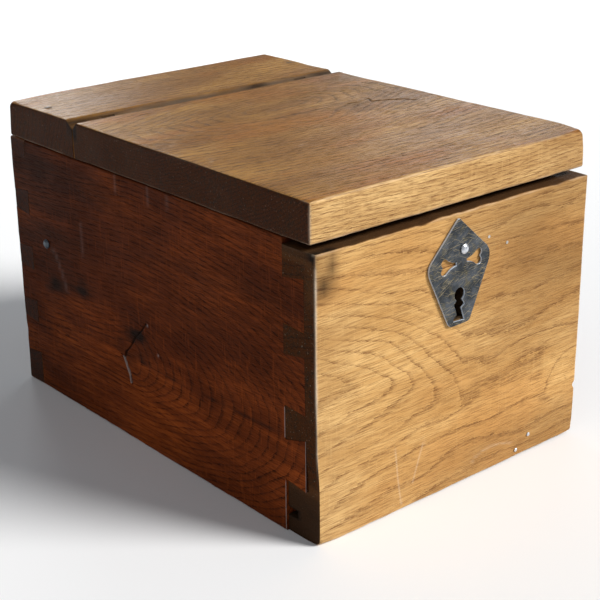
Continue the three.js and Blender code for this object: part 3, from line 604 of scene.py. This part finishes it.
def bottom_board():
    """The bottom, bevelled underneath to a tongue that fits the grooves."""
    low, high = BOTTOM_LOW, BOTTOM_HIGH
    tongue_low = GROOVE_LOW + 0.3
    tongue_width, bevel = 9.0, 26.0
    xs = planes(low[0], high[0], 6, keep=[low[0] + bevel, high[0] - bevel])
    ys = planes(low[1], high[1], 6, keep=[low[1] + bevel, high[1] - bevel])
    zs = np.array([low[2], low[2] + 5, high[2]])

    def shape(p):
        from_edge = np.min(np.minimum(p - low, high - p)[:, :2], axis=1)
        inward = np.clip((from_edge - tongue_width) / (bevel - tongue_width), 0, 1)
        height = (p[:, 2] - low[2]) / (high[2] - low[2])
        moved = p.copy()
        moved[:, 2] += (tongue_low - low[2]) * (1 - inward) * (1 - height)
        moved[:, 2] += 0.3 * ripple(p, (20, 60, 20)) * (1 - height)
        return moved

    piece, p, _ = lattice("bottom_board_worn", xs, ys, zs, every_cell, shape)
    x, y, z = corner_axes(p)
    rings = cone_rings(x - 95 + 6 * ripple(p, (40, 120, 40)), 30 - 0.06 * y + z, 4.4)
    paint(piece, rings=rings, stain=0.6 * step_up(ripple(p, (50, 70, 30), 5.0), 0.0, 0.8))
    return piece


LID_HINGE = next(joint for joint in frame["joints"] if joint["name"] == "lid_hinge")
HINGE_Y, HINGE_Z = np.round(np.array(LID_HINGE["pos_m"][1:]) / MM, 2)
HINGE_X = [middle_mm(f"hinge_{side}_lid_eye")[0] for side in ("left", "right")]
POCKET_HALF = 5.0
POCKET_REACH = 4.1


def pocket_planes():
    """Where the hinge pockets' end walls are."""
    return [x + side * POCKET_HALF for x in HINGE_X for side in (-1, 1)]


def clear_of_pockets(x, y, z):
    """The cells outside the pockets cut round the hinge eyes."""
    hit = np.zeros(x.shape, bool)
    for centre in HINGE_X:
        hit |= np.abs(x - centre) < POCKET_HALF
    return ~(hit & (np.abs(y - HINGE_Y) < POCKET_REACH) & (np.abs(z - HINGE_Z) < POCKET_REACH + 1))


def chamfer(points, edge_y, top_z, run, drop):
    """Squeezes the corner where a face across Y meets the top into a triangle, so that its arris
    becomes a flat chamfer. run's sign points into the board."""
    core_y, core_z = edge_y + run, top_z - drop
    reach = np.maximum((points[:, 1] - core_y) / -run, 0)
    rise = np.maximum((points[:, 2] - core_z) / drop, 0)
    in_corner = (reach > 0) & (rise > 0)
    share = np.where(in_corner, np.maximum(reach, rise) / np.maximum(reach + rise, 1e-9), 1)
    moved = points.copy()
    moved[:, 1] = core_y + (points[:, 1] - core_y) * share
    moved[:, 2] = core_z + (points[:, 2] - core_z) * share
    return moved


# The two sides of the V groove: each chamfer's run along Y and its drop.
LID_CHAMFER = (4.5, 5.0)
STRIP_CHAMFER = (7.0, 5.0)
# The heights where the painted shade in the V groove starts, and where it becomes full.
GROOVE_FOOT, GROOVE_FULL_SHADE = 184.0, 188.0

LID_CRACK = [(156, 147), (164, 146), (175, 149), (171, 142), (182, 138), (191, 132), (194, 125)]
LID_SCUFFS = [
    [(9, 97), (14, 104)],
    [(12, 139), (19, 146)],
    [(66, 89), (72, 93)],
    [(104, 165), (112, 167)],
]


def lid_board():
    """The lid, thin-cracked towards the right, with its front arris and corners worn."""
    xs = planes(LEFT, RIGHT, 3, keep=pocket_planes(), fine=[(LEFT + 154, LEFT + 196, 0.8)])
    ys = planes(
        LID_LOW[1], LID_HIGH[1], 3,
        keep=[HINGE_Y - POCKET_REACH, LID_HIGH[1] - LID_CHAMFER[0]],
        fine=[(FRONT + 124, FRONT + 151, 0.6)],
    )
    zs = planes(
        LID_LOW[2], LID_HIGH[2], 4,
        keep=[HINGE_Z - POCKET_REACH, LID_HIGH[2] - LID_CHAMFER[1]],
    )

    def shape(p):
        p = chamfer(p, LID_HIGH[1], LID_HIGH[2], -LID_CHAMFER[0], LID_CHAMFER[1])
        radius = 1.5 + 0.6 * ripple(p, 24, 1.0) + 0.3 * ripple(p, 6, 2.0)
        radius += 3.0 * near(p, [RIGHT, LID_LOW[1], LID_HIGH[2]], 12)
        radius += 1.5 * near(p, [LEFT, LID_LOW[1], LID_HIGH[2]], 10)
        radius = np.where(p[:, 1] > LID_HIGH[1] - 8, 0.6, np.clip(radius, 0.5, 6))
        p = round_arrises(p, LID_LOW, LID_HIGH, radius)
        dip = 0.35 + 0.25 * ripple(p, (60, 45, 40), 3.0)
        dip += 0.6 * bump_at(p[:, 1] - LID_LOW[1], 14) * step_up(p[:, 0], 0, RIGHT)
        dip += 0.4 * bump_at(path_distance(p[:, 0] - LEFT, p[:, 1] - FRONT, LID_CRACK), 0.8)
        p = sink(p, 2, LID_HIGH[2], dip, depth=9)
        return sink(p, 1, LID_LOW[1], 0.25 + 0.25 * ripple(p, (50, 40, 12), 6.0), depth=8)

    piece, p, grid = lattice("lid_board_worn", xs, ys, zs, clear_of_pockets, shape)
    x, y, z = corner_axes(p)
    under = LID_HIGH[2] - z
    across = y - 168 + knot_push(x, y, (116, 140), (34, 26), -22) + 6 * ripple(p, (90, 60, 60), 1.0)
    rings = cone_rings(across, 12 + 34 * step_up(np.abs(x - 116), 0, 130) + under, 4.3)
    rings += 0.32 * under + 0.5 * ripple(p, (80, 14, 20), 3.0)
    edges = arris_wear(p, LID_LOW, LID_HIGH) * (y < 215) * np.where((x < 3) & (y > 12), 0.15, 1)
    scuffs = sum(0.22 * bump_at(path_distance(x, y, path), 1.3) for path in LID_SCUFFS)
    scuffs *= np.clip(0.8 + ripple(p, 2.5, 2.0), 0, 1) * (z > 190)
    paint(
        piece, rings=rings, stain=lid_stain(p), wear=edges + scuffs,
        varnish=on_plane(grid, 0, LEFT), gold=1 - step_up(p[:, 1] - LID_LOW[1], 0.8, 2.4),
        bare=on_plane(grid, 2, LID_LOW[2]),
    )
    return piece


def lid_stain(p):
    """Smudges towards the rear and right, grime in the thin crack, and painted shade in the V groove."""
    x, y, z = corner_axes(p)
    smudge = 0.4 * bump_at(np.hypot((x - 150) / 1.6, y - 140), 16) * (0.5 + 0.5 * ripple(p, 10, 4.0))
    smudge += 0.18 * step_up(y, 110, 200) * (1 + 0.9 * ripple(p, (30, 12, 30), 2.0))
    smudge += 0.14 * step_up(x, 120, 200) * (1 + 0.9 * ripple(p, (30, 12, 30), 6.0))
    thin_crack = bump_at(path_distance(x, y, LID_CRACK), 0.8) * (0.75 + 0.5 * ripple(p, 5, 3.0))
    # Painted shade on the lid's chamfer in the V groove.
    down_chamfer = p[:, 1] - (LID_HIGH[1] - LID_CHAMFER[0])
    groove = 0.8 * step_up(down_chamfer, -1, 0.8) + 0.2 * step_up(down_chamfer, 1.8, 4.3)
    groove *= step_up(z, GROOVE_FOOT, GROOVE_FULL_SHADE)
    return np.clip(smudge + 0.6 * thin_crack + groove, 0, 1)


def rear_strip():
    """The fixed strip behind the V groove, with its rear left corner rounded most."""
    xs = planes(LEFT, RIGHT, 3, keep=pocket_planes())
    ys = planes(
        STRIP_LOW[1], STRIP_HIGH[1], 3,
        keep=[HINGE_Y + POCKET_REACH, STRIP_LOW[1] + STRIP_CHAMFER[0]],
    )
    zs = planes(
        STRIP_LOW[2], STRIP_HIGH[2], 4,
        keep=[HINGE_Z - POCKET_REACH, STRIP_HIGH[2] - STRIP_CHAMFER[1]],
    )
    rear_corner = [LEFT, REAR, STRIP_HIGH[2]]

    def shape(p):
        p = chamfer(p, STRIP_LOW[1], STRIP_HIGH[2], *STRIP_CHAMFER)
        radius = 1.4 + 0.6 * ripple(p, 20, 2.0) + 0.3 * ripple(p, 6, 5.0)
        radius += 3.0 * near(p, rear_corner, 14)
        radius = np.where(p[:, 1] < STRIP_LOW[1] + 10, 0.6, np.clip(radius, 0.5, 6))
        p = round_arrises(p, STRIP_LOW, STRIP_HIGH, radius)
        dip = 0.35 + 0.3 * ripple(p, (60, 45, 40), 5.0) + 0.7 * near(p, rear_corner, 40)
        p = sink(p, 2, STRIP_HIGH[2], dip, depth=9)
        return sink(p, 1, REAR, 1.2 + 0.6 * ripple(p, (50, 40, 30), 6.0), depth=12)

    piece, p, grid = lattice("rear_strip_worn", xs, ys, zs, clear_of_pockets, shape)
    x, y, z = corner_axes(p)
    under = STRIP_HIGH[2] - z
    rings = cone_rings(y - 395 + 5 * ripple(p, (100, 40, 40), 8.0), 40 + under, 4.6)
    nails = [middle_mm(node)[:2] for node in ("strip_nail_1", "strip_nail_2")]
    rust = sum(bump_at(np.linalg.norm(p[:, :2] - nail, axis=1), 5) for nail in nails)
    # Painted shade on the strip's chamfer in the V groove.
    groove = (1 - step_up(y, 232.5, 235.5)) * step_up(z, GROOVE_FOOT, GROOVE_FULL_SHADE)
    # Pale dust on the groove's chamfer towards the left, which also serves as a painted sheen.
    dust_and_sheen = 0.14 * groove * (0.7 + 0.8 * ripple(p, (14, 8, 8), 1.0)) * step_up(x, 10, 60)
    paint(
        piece, rings=rings + 0.4 * ripple(p, (80, 14, 20), 3.0),
        stain=np.clip(0.3 * rust + groove * (0.8 + 0.2 * ripple(p, (20, 9, 9), 4.0)) + 0.1, 0, 1),
        wear=0.3 * arris_wear(p, STRIP_LOW, STRIP_HIGH) * (y > 240) + np.clip(dust_and_sheen, 0, 1),
        varnish=on_plane(grid, 0, LEFT),
    )
    return piece


# ------------------------------------------------
# Keyhole plate. Its points are (x, z) offsets from the middle of the keyhole.
# ------------------------------------------------
PLATE_CORNERS = [(-2.2, 45.4, 1.5), (-26.6, 20, 6), (-7.6, -18.6, 3), (8.6, -18.2, 2), (25.6, 20.5, 7)]
KEY_SLOT = [
    (-4.3, -5.6), (-2.7, -9.2), (-1.9, -12.2), (-4.4, -14),
    (-4.5, -15.8), (4.5, -16.3), (1.8, -8.6), (4.4, -6.8),
]
PIPE_RADIUS = 4.1


def sweep(*points, steps=8):
    """A Bezier curve through its first and last point, of two or three legs."""
    points = [np.array(point, float) for point in points]
    order = len(points) - 1
    spots = []
    for t in np.linspace(0, 1, steps + 1):
        weights = [math.comb(order, k) * t**k * (1 - t) ** (order - k) for k in range(order + 1)]
        spots.append(sum(weight * point for weight, point in zip(weights, points)))
    return spots


def plate_outline():
    """The plate's outline, each corner rounded by a curve."""
    outline = []
    for index, (x, z, radius) in enumerate(PLATE_CORNERS):
        corner = np.array([x, z])
        before = np.array(PLATE_CORNERS[index - 1][:2]) - corner
        after = np.array(PLATE_CORNERS[(index + 1) % len(PLATE_CORNERS)][:2]) - corner
        start = corner + before / np.linalg.norm(before) * radius
        end = corner + after / np.linalg.norm(after) * radius
        outline += sweep(start, corner, end)
    return outline


def heart(point_x, point_z, toward):
    """A heart lying on its side, with its point at a place and its lobes away from it."""
    upper = sweep((0, 0.9), (4.5, 1.2), (7.4, 4), steps=5)
    upper += sweep((7.4, 4), (9.4, 5.8), (12.8, 4.4), (12, 1.8))[1:]
    half = [*upper, np.array([10.9, 0])]
    lower = [spot * [1, -1] for spot in reversed(upper)]
    return [np.array([point_x + toward * along, point_z + up]) for along, up in half + lower]


def keyhole():
    """The round hole for the key's pipe, open at its foot to the stepped slot."""
    turns = np.linspace(-1.0, math.pi + 0.95, 18)
    pipe = [PIPE_RADIUS * np.array([math.cos(turn), math.sin(turn)]) for turn in turns]
    return pipe + [np.array(spot) for spot in KEY_SLOT]


def keyhole_plate():
    """The pierced plate, cut from sheet, with its edges filed round and painted pale: rubbed bright iron and a
    painted highlight.
    """
    low, high = box_mm("escutcheon")
    thickness = high[1] - low[1]
    filed = 0.3
    curve = bpy.data.curves.new("keyhole_plate", "CURVE")
    curve.dimensions = "2D"
    curve.fill_mode = "BOTH"
    curve.extrude = thickness / 2 - filed
    curve.bevel_depth = filed
    curve.bevel_resolution = 2
    curve.offset = -filed
    for outline in (plate_outline(), keyhole(), heart(-3.2, 18.7, -1), heart(5, 19.2, 1)):
        spline = curve.splines.new("POLY")
        spline.points.add(len(outline) - 1)
        for spot, (x, z) in zip(spline.points, outline):
            spot.co = (x, z, 0, 1)
        spline.use_cyclic_u = True
    drawn = bpy.data.objects.new("keyhole_plate_curve", curve)
    mesh = bpy.data.meshes.new_from_object(drawn)
    bpy.data.objects.remove(drawn)
    middle = Vector((KEY_X, (low[1] + high[1]) / 2, KEY_Z))
    upright = Matrix.Rotation(math.pi / 2, 4, "X")
    mesh.transform(Matrix.Scale(MM, 4) @ Matrix.Translation(middle) @ upright)
    mesh.name = "keyhole_plate"
    piece = bpy.data.objects.new("keyhole_plate", mesh)
    bpy.context.scene.collection.objects.link(piece)
    finish_shading(mesh, 35)
    # Every point behind the front face gets the pale painted edge: filed bright iron and a painted highlight.
    depths = np.array([vertex.co.y for vertex in mesh.vertices]) / MM - low[1]
    paint(piece, wear=step_up(depths, 0.02, 0.15))
    return piece


# ------------------------------------------------
# Materials
# ------------------------------------------------
def colour(*rgb):
    return (*rgb, 1.0)


class Graph:
    """A node material under construction."""

    def __init__(self, name):
        self.material = bpy.data.materials.new(name)
        self.material.use_nodes = True
        self.tree = self.material.node_tree
        self.shader = self.tree.nodes["Principled BSDF"]

    def node(self, kind, inputs=None, **settings):
        made = self.tree.nodes.new(kind)
        for key, value in settings.items():
            setattr(made, key, value)
        for key, value in (inputs or {}).items():
            self.feed(made.inputs[key], value)
        return made

    def feed(self, socket, value):
        """Links another node's output to a socket, or sets the socket to a constant."""
        if isinstance(value, bpy.types.NodeSocket):
            self.tree.links.new(value, socket)
        else:
            socket.default_value = value

    def set(self, **inputs):
        """Feeds the shader's own sockets, named with underscores for spaces."""
        for key, value in inputs.items():
            self.feed(self.shader.inputs[key.replace("_", " ")], value)

    def attribute(self, name):
        return self.node("ShaderNodeAttribute", attribute_name=name).outputs["Fac"]

    def place(self, stretch, turn=(0, 0, 0)):
        """The object's own coordinates, turned, then stretched on each axis."""
        spot = self.node("ShaderNodeTexCoord").outputs["Object"]
        if any(turn):
            spot = self.node("ShaderNodeMapping", {"Vector": spot, "Rotation": turn}).outputs[0]
        return self.node("ShaderNodeMapping", {"Vector": spot, "Scale": stretch}).outputs[0]

    def noise(self, stretch, detail=3.0, rough=0.55, turn=(0, 0, 0)):
        spot = self.place(stretch, turn)
        inputs = {"Vector": spot, "Scale": 1.0, "Detail": detail, "Roughness": rough}
        return self.node("ShaderNodeTexNoise", inputs).outputs["Fac"]

    def math(self, operation, a, b=0.0, clamp=False):
        made = self.node("ShaderNodeMath", {0: a, 1: b}, operation=operation)
        made.use_clamp = clamp
        return made.outputs[0]

    def times(self, *values):
        total = values[0]
        for value in values[1:]:
            total = self.math("MULTIPLY", total, value)
        return total

    def plus(self, *values, clamp=False):
        total = values[0]
        for value in values[1:]:
            total = self.math("ADD", total, value, clamp)
        return total

    def ramp(self, value, low, high, start=0.0, end=1.0):
        """start where the value is below low, end above high, smooth between."""
        inputs = {"Value": value, "From Min": low, "From Max": high, "To Min": start, "To Max": end}
        return self.node("ShaderNodeMapRange", inputs, interpolation_type="SMOOTHSTEP").outputs[0]

    def mix(self, share, a, b):
        made = self.node("ShaderNodeMix", data_type="RGBA", clamp_factor=True)
        self.feed(made.inputs[0], share)
        self.feed(made.inputs[6], a)
        self.feed(made.inputs[7], b)
        return made.outputs[2]

    def bump(self, height, distance, strength=1.0, normal=None):
        inputs = {"Height": height, "Distance": distance, "Strength": strength}
        if normal is not None:
            inputs["Normal"] = normal
        return self.node("ShaderNodeBump", inputs).outputs[0]


def stretched(grain_axis, along, across):
    """A noise scale with one value along the grain and another across it."""
    scale = [across] * 3
    scale[grain_axis] = along
    return tuple(scale)


GOLD_LIGHT = colour(0.67, 0.42, 0.168)
GOLD_DARK = colour(0.44, 0.235, 0.076)
GOLD_LINE = colour(0.19, 0.085, 0.03)
STRAW_LIGHT = colour(0.76, 0.51, 0.225)
STRAW_DARK = colour(0.43, 0.245, 0.09)
BARE_LIGHT = colour(0.30, 0.185, 0.09)
BARE_DARK = colour(0.19, 0.105, 0.048)
DARK_VARNISH = colour(0.042, 0.0095, 0.002)
# The colour of black grime, also used for painted shade.
BLACK_GRIME_AND_SHADE = colour(0.012, 0.008, 0.006)


def oak(
    name, grain_axis, light, dark, line, rubbed, glow,
    rough=0.45, flecks=0.0, contrast=1.0, pores=0.42, dash=130, rings=0.7, ring_width=0.42, ior=1.4,
):
    """Old varnished oak, with patches of a warmer glow.

    Painted on its points: rings (one more for each growth ring), gold (sun-bleached), bare (never
    varnished), varnish (dark end grain; painted shade under the lid), stain (black grime and painted
    shade) and wear (rubbed pale; painted highlights and sheen).
    """
    g = Graph(name)
    sway = g.noise(stretched(grain_axis, 25, 90), detail=2)
    teeth = g.noise(stretched(grain_axis, 300, 600), detail=2)
    phase = g.math("FRACT", g.plus(g.attribute("rings"), g.times(sway, 0.7), g.times(teeth, 0.35)))
    early = g.ramp(phase, 0.0, ring_width, 1.0, 0.0)
    strength = g.ramp(g.noise(stretched(grain_axis, 14, 60), detail=2), 0.25, 0.6, 0.45, 1.0)
    dashes = g.ramp(g.noise(stretched(grain_axis, dash, 1500), detail=2), 0.45, 0.66)
    fibre = g.noise(stretched(grain_axis, 55, 1300), detail=4, rough=0.7)
    streaks = g.noise(stretched(grain_axis, 14, 240), detail=3)
    broad = g.noise(stretched(grain_axis, 9, 30), detail=3)
    ring_line = g.times(early, strength, g.plus(g.times(dashes, 0.7), 0.5))

    light = g.mix(g.attribute("bare"), g.mix(g.attribute("gold"), light, STRAW_LIGHT), BARE_LIGHT)
    dark = g.mix(g.attribute("bare"), g.mix(g.attribute("gold"), dark, STRAW_DARK), BARE_DARK)
    line = g.mix(g.attribute("gold"), line, GOLD_LINE)
    base = g.mix(g.ramp(broad, 0.32, 0.68), light, dark)
    warmth = g.ramp(g.noise(stretched(grain_axis, 11, 24), detail=3), 0.48, 0.66, 0.0, 0.7)
    covered = g.math("MAXIMUM", g.attribute("bare"), g.attribute("gold"))
    base = g.mix(g.times(warmth, g.math("SUBTRACT", 1.0, covered)), base, glow)
    base = g.mix(g.times(g.ramp(streaks, 0.4, 0.65), 0.45 * contrast), base, dark)
    base = g.mix(g.times(g.ramp(fibre, 0.4, 0.68), 0.6 * contrast), base, dark)
    base = g.mix(g.times(dashes, pores * contrast), base, line)
    base = g.mix(g.times(ring_line, rings * contrast), base, line)
    if flecks:
        rays = g.noise(stretched(grain_axis, 700, 60), detail=2, rough=0.5)
        base = g.mix(g.times(g.ramp(rays, 0.56, 0.7), flecks), base, light)
    pits = g.noise((700, 700, 700), detail=3)
    pitted = g.mix(g.ramp(pits, 0.5, 0.62, 0.0, 0.8), DARK_VARNISH, BLACK_GRIME_AND_SHADE)
    pitted = g.mix(g.times(ring_line, 0.7), pitted, BLACK_GRIME_AND_SHADE)
    pitted = g.mix(g.ramp(g.noise((1100, 1100, 1100), detail=1), 0.7, 0.76, 0.0, 0.2), pitted, rubbed)
    base = g.mix(g.times(g.attribute("varnish"), 0.96), base, pitted)
    stain = g.attribute("stain")
    base = g.mix(g.times(stain, 0.94), base, g.mix(stain, line, BLACK_GRIME_AND_SHADE))
    base = g.mix(g.times(g.attribute("wear"), 0.8), base, rubbed)

    patches = g.ramp(g.noise((25, 25, 25), detail=4), 0.3, 0.7, rough - 0.04, rough + 0.04)
    surface = g.plus(patches, g.times(dashes, 0.15))
    surface = g.plus(surface, g.times(g.attribute("varnish"), 0.15), clamp=True)
    pores_and_rings = g.plus(g.times(dashes, 0.5), g.times(ring_line, 0.4))
    relief = g.math("SUBTRACT", g.times(fibre, 0.6), pores_and_rings)
    normal = g.bump(relief, 0.00025, 1.0, g.bump(broad, 0.0003, 0.5))
    g.set(Base_Color=base, Roughness=surface, Normal=normal, IOR=ior)
    return g.material


RUST = colour(0.15, 0.055, 0.02)
OLIVE_TARNISH = colour(0.12, 0.105, 0.062)
FILED_EDGE_AND_HIGHLIGHT = colour(0.52, 0.59, 0.68)


def iron(name, base, bright, rough=0.5, metal=0.8, rust=0.0, rust_colour=RUST, scratches=None):
    """Hand-worked iron: shallow hammer marks, a mottled skin, and rust or scratches if asked."""
    g = Graph(name)
    mottle = g.noise((90, 90, 90), detail=6, rough=0.65)
    hammer = g.node(
        "ShaderNodeTexVoronoi", {"Vector": g.place((220, 220, 220)), "Scale": 1.0},
        feature="SMOOTH_F1",
    ).outputs["Distance"]
    grit = g.noise((1500, 1500, 1500), detail=3)
    skin = g.mix(g.ramp(mottle, 0.35, 0.72), base, bright)
    skin = g.mix(g.ramp(grit, 0.6, 0.8, 0.0, 0.5), skin, bright)
    if rust:
        spots = g.ramp(g.noise((160, 160, 160), detail=5), 0.54, 0.7, 0.0, rust)
        skin = g.mix(spots, skin, rust_colour)
    if scratches:
        for turn in (0.1, 0.5, -0.4):
            lines = g.noise((80, 80, 3800), detail=1, turn=(0, turn, 0))
            skin = g.mix(g.ramp(lines, 0.68, 0.73, 0.0, 0.8), skin, scratches)
    # The edges are painted a pale, less metallic blue-grey: filed bright iron and a painted highlight.
    edges = g.attribute("wear")
    skin = g.mix(g.times(edges, 0.9), skin, FILED_EDGE_AND_HIGHLIGHT)
    surface = g.plus(g.ramp(mottle, 0.3, 0.7, rough - 0.12, rough + 0.12), g.times(edges, -0.15))
    normal = g.bump(hammer, 0.0004, 0.7, g.bump(grit, 0.00006, 0.8))
    g.set(Base_Color=skin, Roughness=surface, Metallic=g.plus(metal, g.times(edges, -0.6)), Normal=normal)
    return g.material


ALONG_X, ALONG_Y = 0, 1

OAK_FRONT = oak(
    "oak_front", ALONG_X, light=GOLD_LIGHT, dark=GOLD_DARK, line=GOLD_LINE,
    rubbed=colour(0.82, 0.68, 0.52), glow=colour(0.56, 0.29, 0.095),
    rough=0.5, flecks=0.12, dash=80, rings=0.8, ring_width=0.3, ior=1.12,
)
# The left board's pale grey rubbed colour also colours its painted highlights.
OAK_LEFT = oak(
    "oak_left", ALONG_Y,
    light=colour(0.275, 0.058, 0.0105), dark=colour(0.088, 0.018, 0.0042),
    line=colour(0.018, 0.0055, 0.0025), rubbed=colour(0.46, 0.42, 0.40),
    glow=colour(0.35, 0.076, 0.012),
    rough=0.5, flecks=0.32, contrast=1.2, pores=0.2, ior=1.1,
)
OAK_RIGHT = oak(
    "oak_right", ALONG_Y,
    light=colour(0.22, 0.083, 0.026), dark=colour(0.11, 0.036, 0.011), line=colour(0.035, 0.012, 0.005),
    rubbed=colour(0.26, 0.15, 0.09), glow=colour(0.26, 0.085, 0.024),
    rough=0.5, flecks=0.3, ior=1.2,
)
OAK_TOP = oak(
    "oak_top", ALONG_X,
    light=colour(0.50, 0.268, 0.070), dark=colour(0.26, 0.120, 0.028), line=colour(0.075, 0.036, 0.017),
    rubbed=colour(0.66, 0.52, 0.40), glow=colour(0.40, 0.140, 0.022),
    rough=0.38, flecks=0.15, contrast=1.15, ior=1.15,
)
OAK_BACK = oak(
    "oak_back", ALONG_X,
    light=colour(0.19, 0.066, 0.020), dark=colour(0.11, 0.035, 0.011), line=colour(0.04, 0.015, 0.007),
    rubbed=colour(0.24, 0.14, 0.09), glow=colour(0.22, 0.070, 0.020),
    rough=0.55, flecks=0.2, ior=1.25,
)
OAK_BOTTOM = oak(
    "oak_bottom", ALONG_Y,
    light=colour(0.30, 0.18, 0.085), dark=colour(0.20, 0.11, 0.05), line=colour(0.09, 0.05, 0.028),
    rubbed=colour(0.3, 0.2, 0.12), glow=colour(0.30, 0.165, 0.07),
    rough=0.75, ior=1.25,
)
BLACK_IRON = iron(
    "black_iron", colour(0.026, 0.031, 0.036), colour(0.115, 0.13, 0.15),
    rough=0.4, rust=0.75, rust_colour=OLIVE_TARNISH, scratches=colour(0.50, 0.40, 0.22),
)
LOCK_IRON = iron("lock_iron", colour(0.05, 0.042, 0.038), colour(0.13, 0.11, 0.095), rough=0.6, rust=0.6)
BOLT_IRON = iron("bolt_iron", colour(0.09, 0.085, 0.08), colour(0.28, 0.27, 0.26), rough=0.45, rust=0.25)
NAIL_IRON = iron("nail_iron", colour(0.03, 0.025, 0.022), colour(0.09, 0.08, 0.07), rough=0.6, rust=0.4)
BRIGHT_STEEL = iron(
    "bright_steel", colour(0.42, 0.46, 0.52), colour(0.8, 0.82, 0.86), rough=0.35, metal=0.9,
)
DULL_STEEL = iron("dull_steel", colour(0.07, 0.085, 0.10), colour(0.24, 0.27, 0.31), rough=0.45)
PALE_IRON = iron("pale_iron", colour(0.30, 0.27, 0.24), colour(0.52, 0.50, 0.47), rough=0.6, metal=0.2)
BROWN_IRON = iron("brown_iron", colour(0.10, 0.055, 0.03), colour(0.2, 0.12, 0.065), rough=0.6, metal=0.3)


def give_look(piece, look):
    piece.data.materials.clear()
    piece.data.materials.append(look)


def finish_piece(piece, look, body, slot, *nodes):
    """Gives a piece its material and its body, and hides the CAD nodes it stands for. slot is not used."""
    give_look(piece, look)
    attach(piece, body)
    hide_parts(*nodes)


# ------------------------------------------------
# Assembly
# ------------------------------------------------
finish_piece(front_board(), OAK_FRONT, "box", "oak_front", "front_board")
finish_piece(side_board("left_side_worn", -1), OAK_LEFT, "box", "oak_side", "left_side")
finish_piece(side_board("right_side_worn", 1), OAK_RIGHT, "box", "oak_side", "right_side")
finish_piece(back_board(), OAK_BACK, "box", "oak_back", "back_board")
finish_piece(bottom_board(), OAK_BOTTOM, "box", "oak_bottom", "bottom_board")
finish_piece(rear_strip(), OAK_TOP, "box", "oak_top", "rear_strip")
finish_piece(lid_board(), OAK_TOP, "lid", "oak_top", "lid_board")

finish_piece(keyhole_plate(), BLACK_IRON, "box", "black_iron", "escutcheon")

# The other CAD nodes stay, and are dressed by their slot, apart from a few nails with their own look.
SLOT_LOOKS = {
    "black_iron": BLACK_IRON, "lock_iron": LOCK_IRON, "bolt_iron": BOLT_IRON,
    "nail_iron": NAIL_IRON, "bright_steel": BRIGHT_STEEL,
}
OWN_LOOKS = {
    "side_nail": DULL_STEEL, "lock_nail_2": PALE_IRON, "lock_plate_nail": PALE_IRON,
    "strip_nail_1": BROWN_IRON, "strip_nail_2": BROWN_IRON,
}
for part in frame["record"]["subparts"]:
    look = OWN_LOOKS.get(part["node"]) or SLOT_LOOKS.get(part["material_slot"])
    if look:
        give_look(frame["nodes"][part["node"]], look)


# ------------------------------------------------
# Floor, light and camera
# ------------------------------------------------
def plain(name, rgb, rough):
    """A plain matt material, for the floor."""
    g = Graph(name)
    g.set(Base_Color=colour(*rgb), Roughness=rough)
    return g.material


bpy.ops.mesh.primitive_plane_add(size=12, location=(0, 0, -0.0002))
floor = bpy.context.object
floor.name = "floor"
floor.data.materials.append(plain("floor_paper", (0.87, 0.89, 0.92), 0.9))
floor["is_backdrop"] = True


def soft_light(name, place, aim, size, power, tint):
    """A lit rectangle of a size in metres, at a place and turned to face the aim."""
    lamp = bpy.data.lights.new(name, "AREA")
    lamp.shape = "RECTANGLE"
    lamp.size, lamp.size_y = size
    lamp.energy = power
    lamp.color = tint
    holder = bpy.data.objects.new(name, lamp)
    bpy.context.scene.collection.objects.link(holder)
    holder.location = place
    holder.rotation_euler = (Vector(aim) - Vector(place)).to_track_quat("-Z", "Y").to_euler()


def sun(name, toward, power, softness, tint):
    """Even light over the whole floor. toward points from the box to the light."""
    lamp = bpy.data.lights.new(name, "SUN")
    lamp.energy = power
    lamp.angle = math.radians(softness)
    lamp.color = tint
    holder = bpy.data.objects.new(name, lamp)
    bpy.context.scene.collection.objects.link(holder)
    holder.rotation_euler = Vector(toward).to_track_quat("Z", "Y").to_euler()


sun("key", (0.46, -0.66, 0.60), 4.2, 24, (1.0, 0.97, 0.93))
sun("fill", (-0.8, -0.3, 0.52), 0.5, 60, (1.0, 0.95, 0.9))
soft_light("rear_window", (0.70, 1.75, 0.52), (0, 0.1, 0.2), (0.4, 0.4), 6.2, (0.87, 0.92, 0.93))
soft_light("side_window", (1.65, 1.25, 0.55), (0.08, -0.1, 0.2), (0.7, 0.4), 5.1, (0.9, 0.93, 0.94))

world = bpy.data.worlds.new("studio")
bpy.context.scene.world = world
world.use_nodes = True
world.node_tree.nodes["Background"].inputs[0].default_value = (0.9, 0.94, 1.0, 1.0)
world.node_tree.nodes["Background"].inputs[1].default_value = 0.16

CAMERA_PLACE = Vector((-0.5433, -0.6577, 0.4076))
CAMERA_AIM = Vector((0.0009, -0.0121, 0.0770))
CAMERA_ROLL = math.radians(-0.694)
camera = bpy.data.objects.new("camera", bpy.data.cameras.new("camera"))
bpy.context.scene.collection.objects.link(camera)
camera.data.sensor_width = 36
camera.data.lens = 84.2
turn = (CAMERA_AIM - CAMERA_PLACE).to_track_quat("-Z", "Y").to_matrix().to_4x4()
camera.matrix_world = Matrix.Translation(CAMERA_PLACE) @ turn @ Matrix.Rotation(CAMERA_ROLL, 4, "Z")
bpy.context.scene.camera = camera
bpy.context.scene.view_settings.view_transform = "Standard"

boxes = {"cad": CAD_BOX, "visual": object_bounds()}
{key: [list(corner) for corner in box] for key, box in boxes.items()}
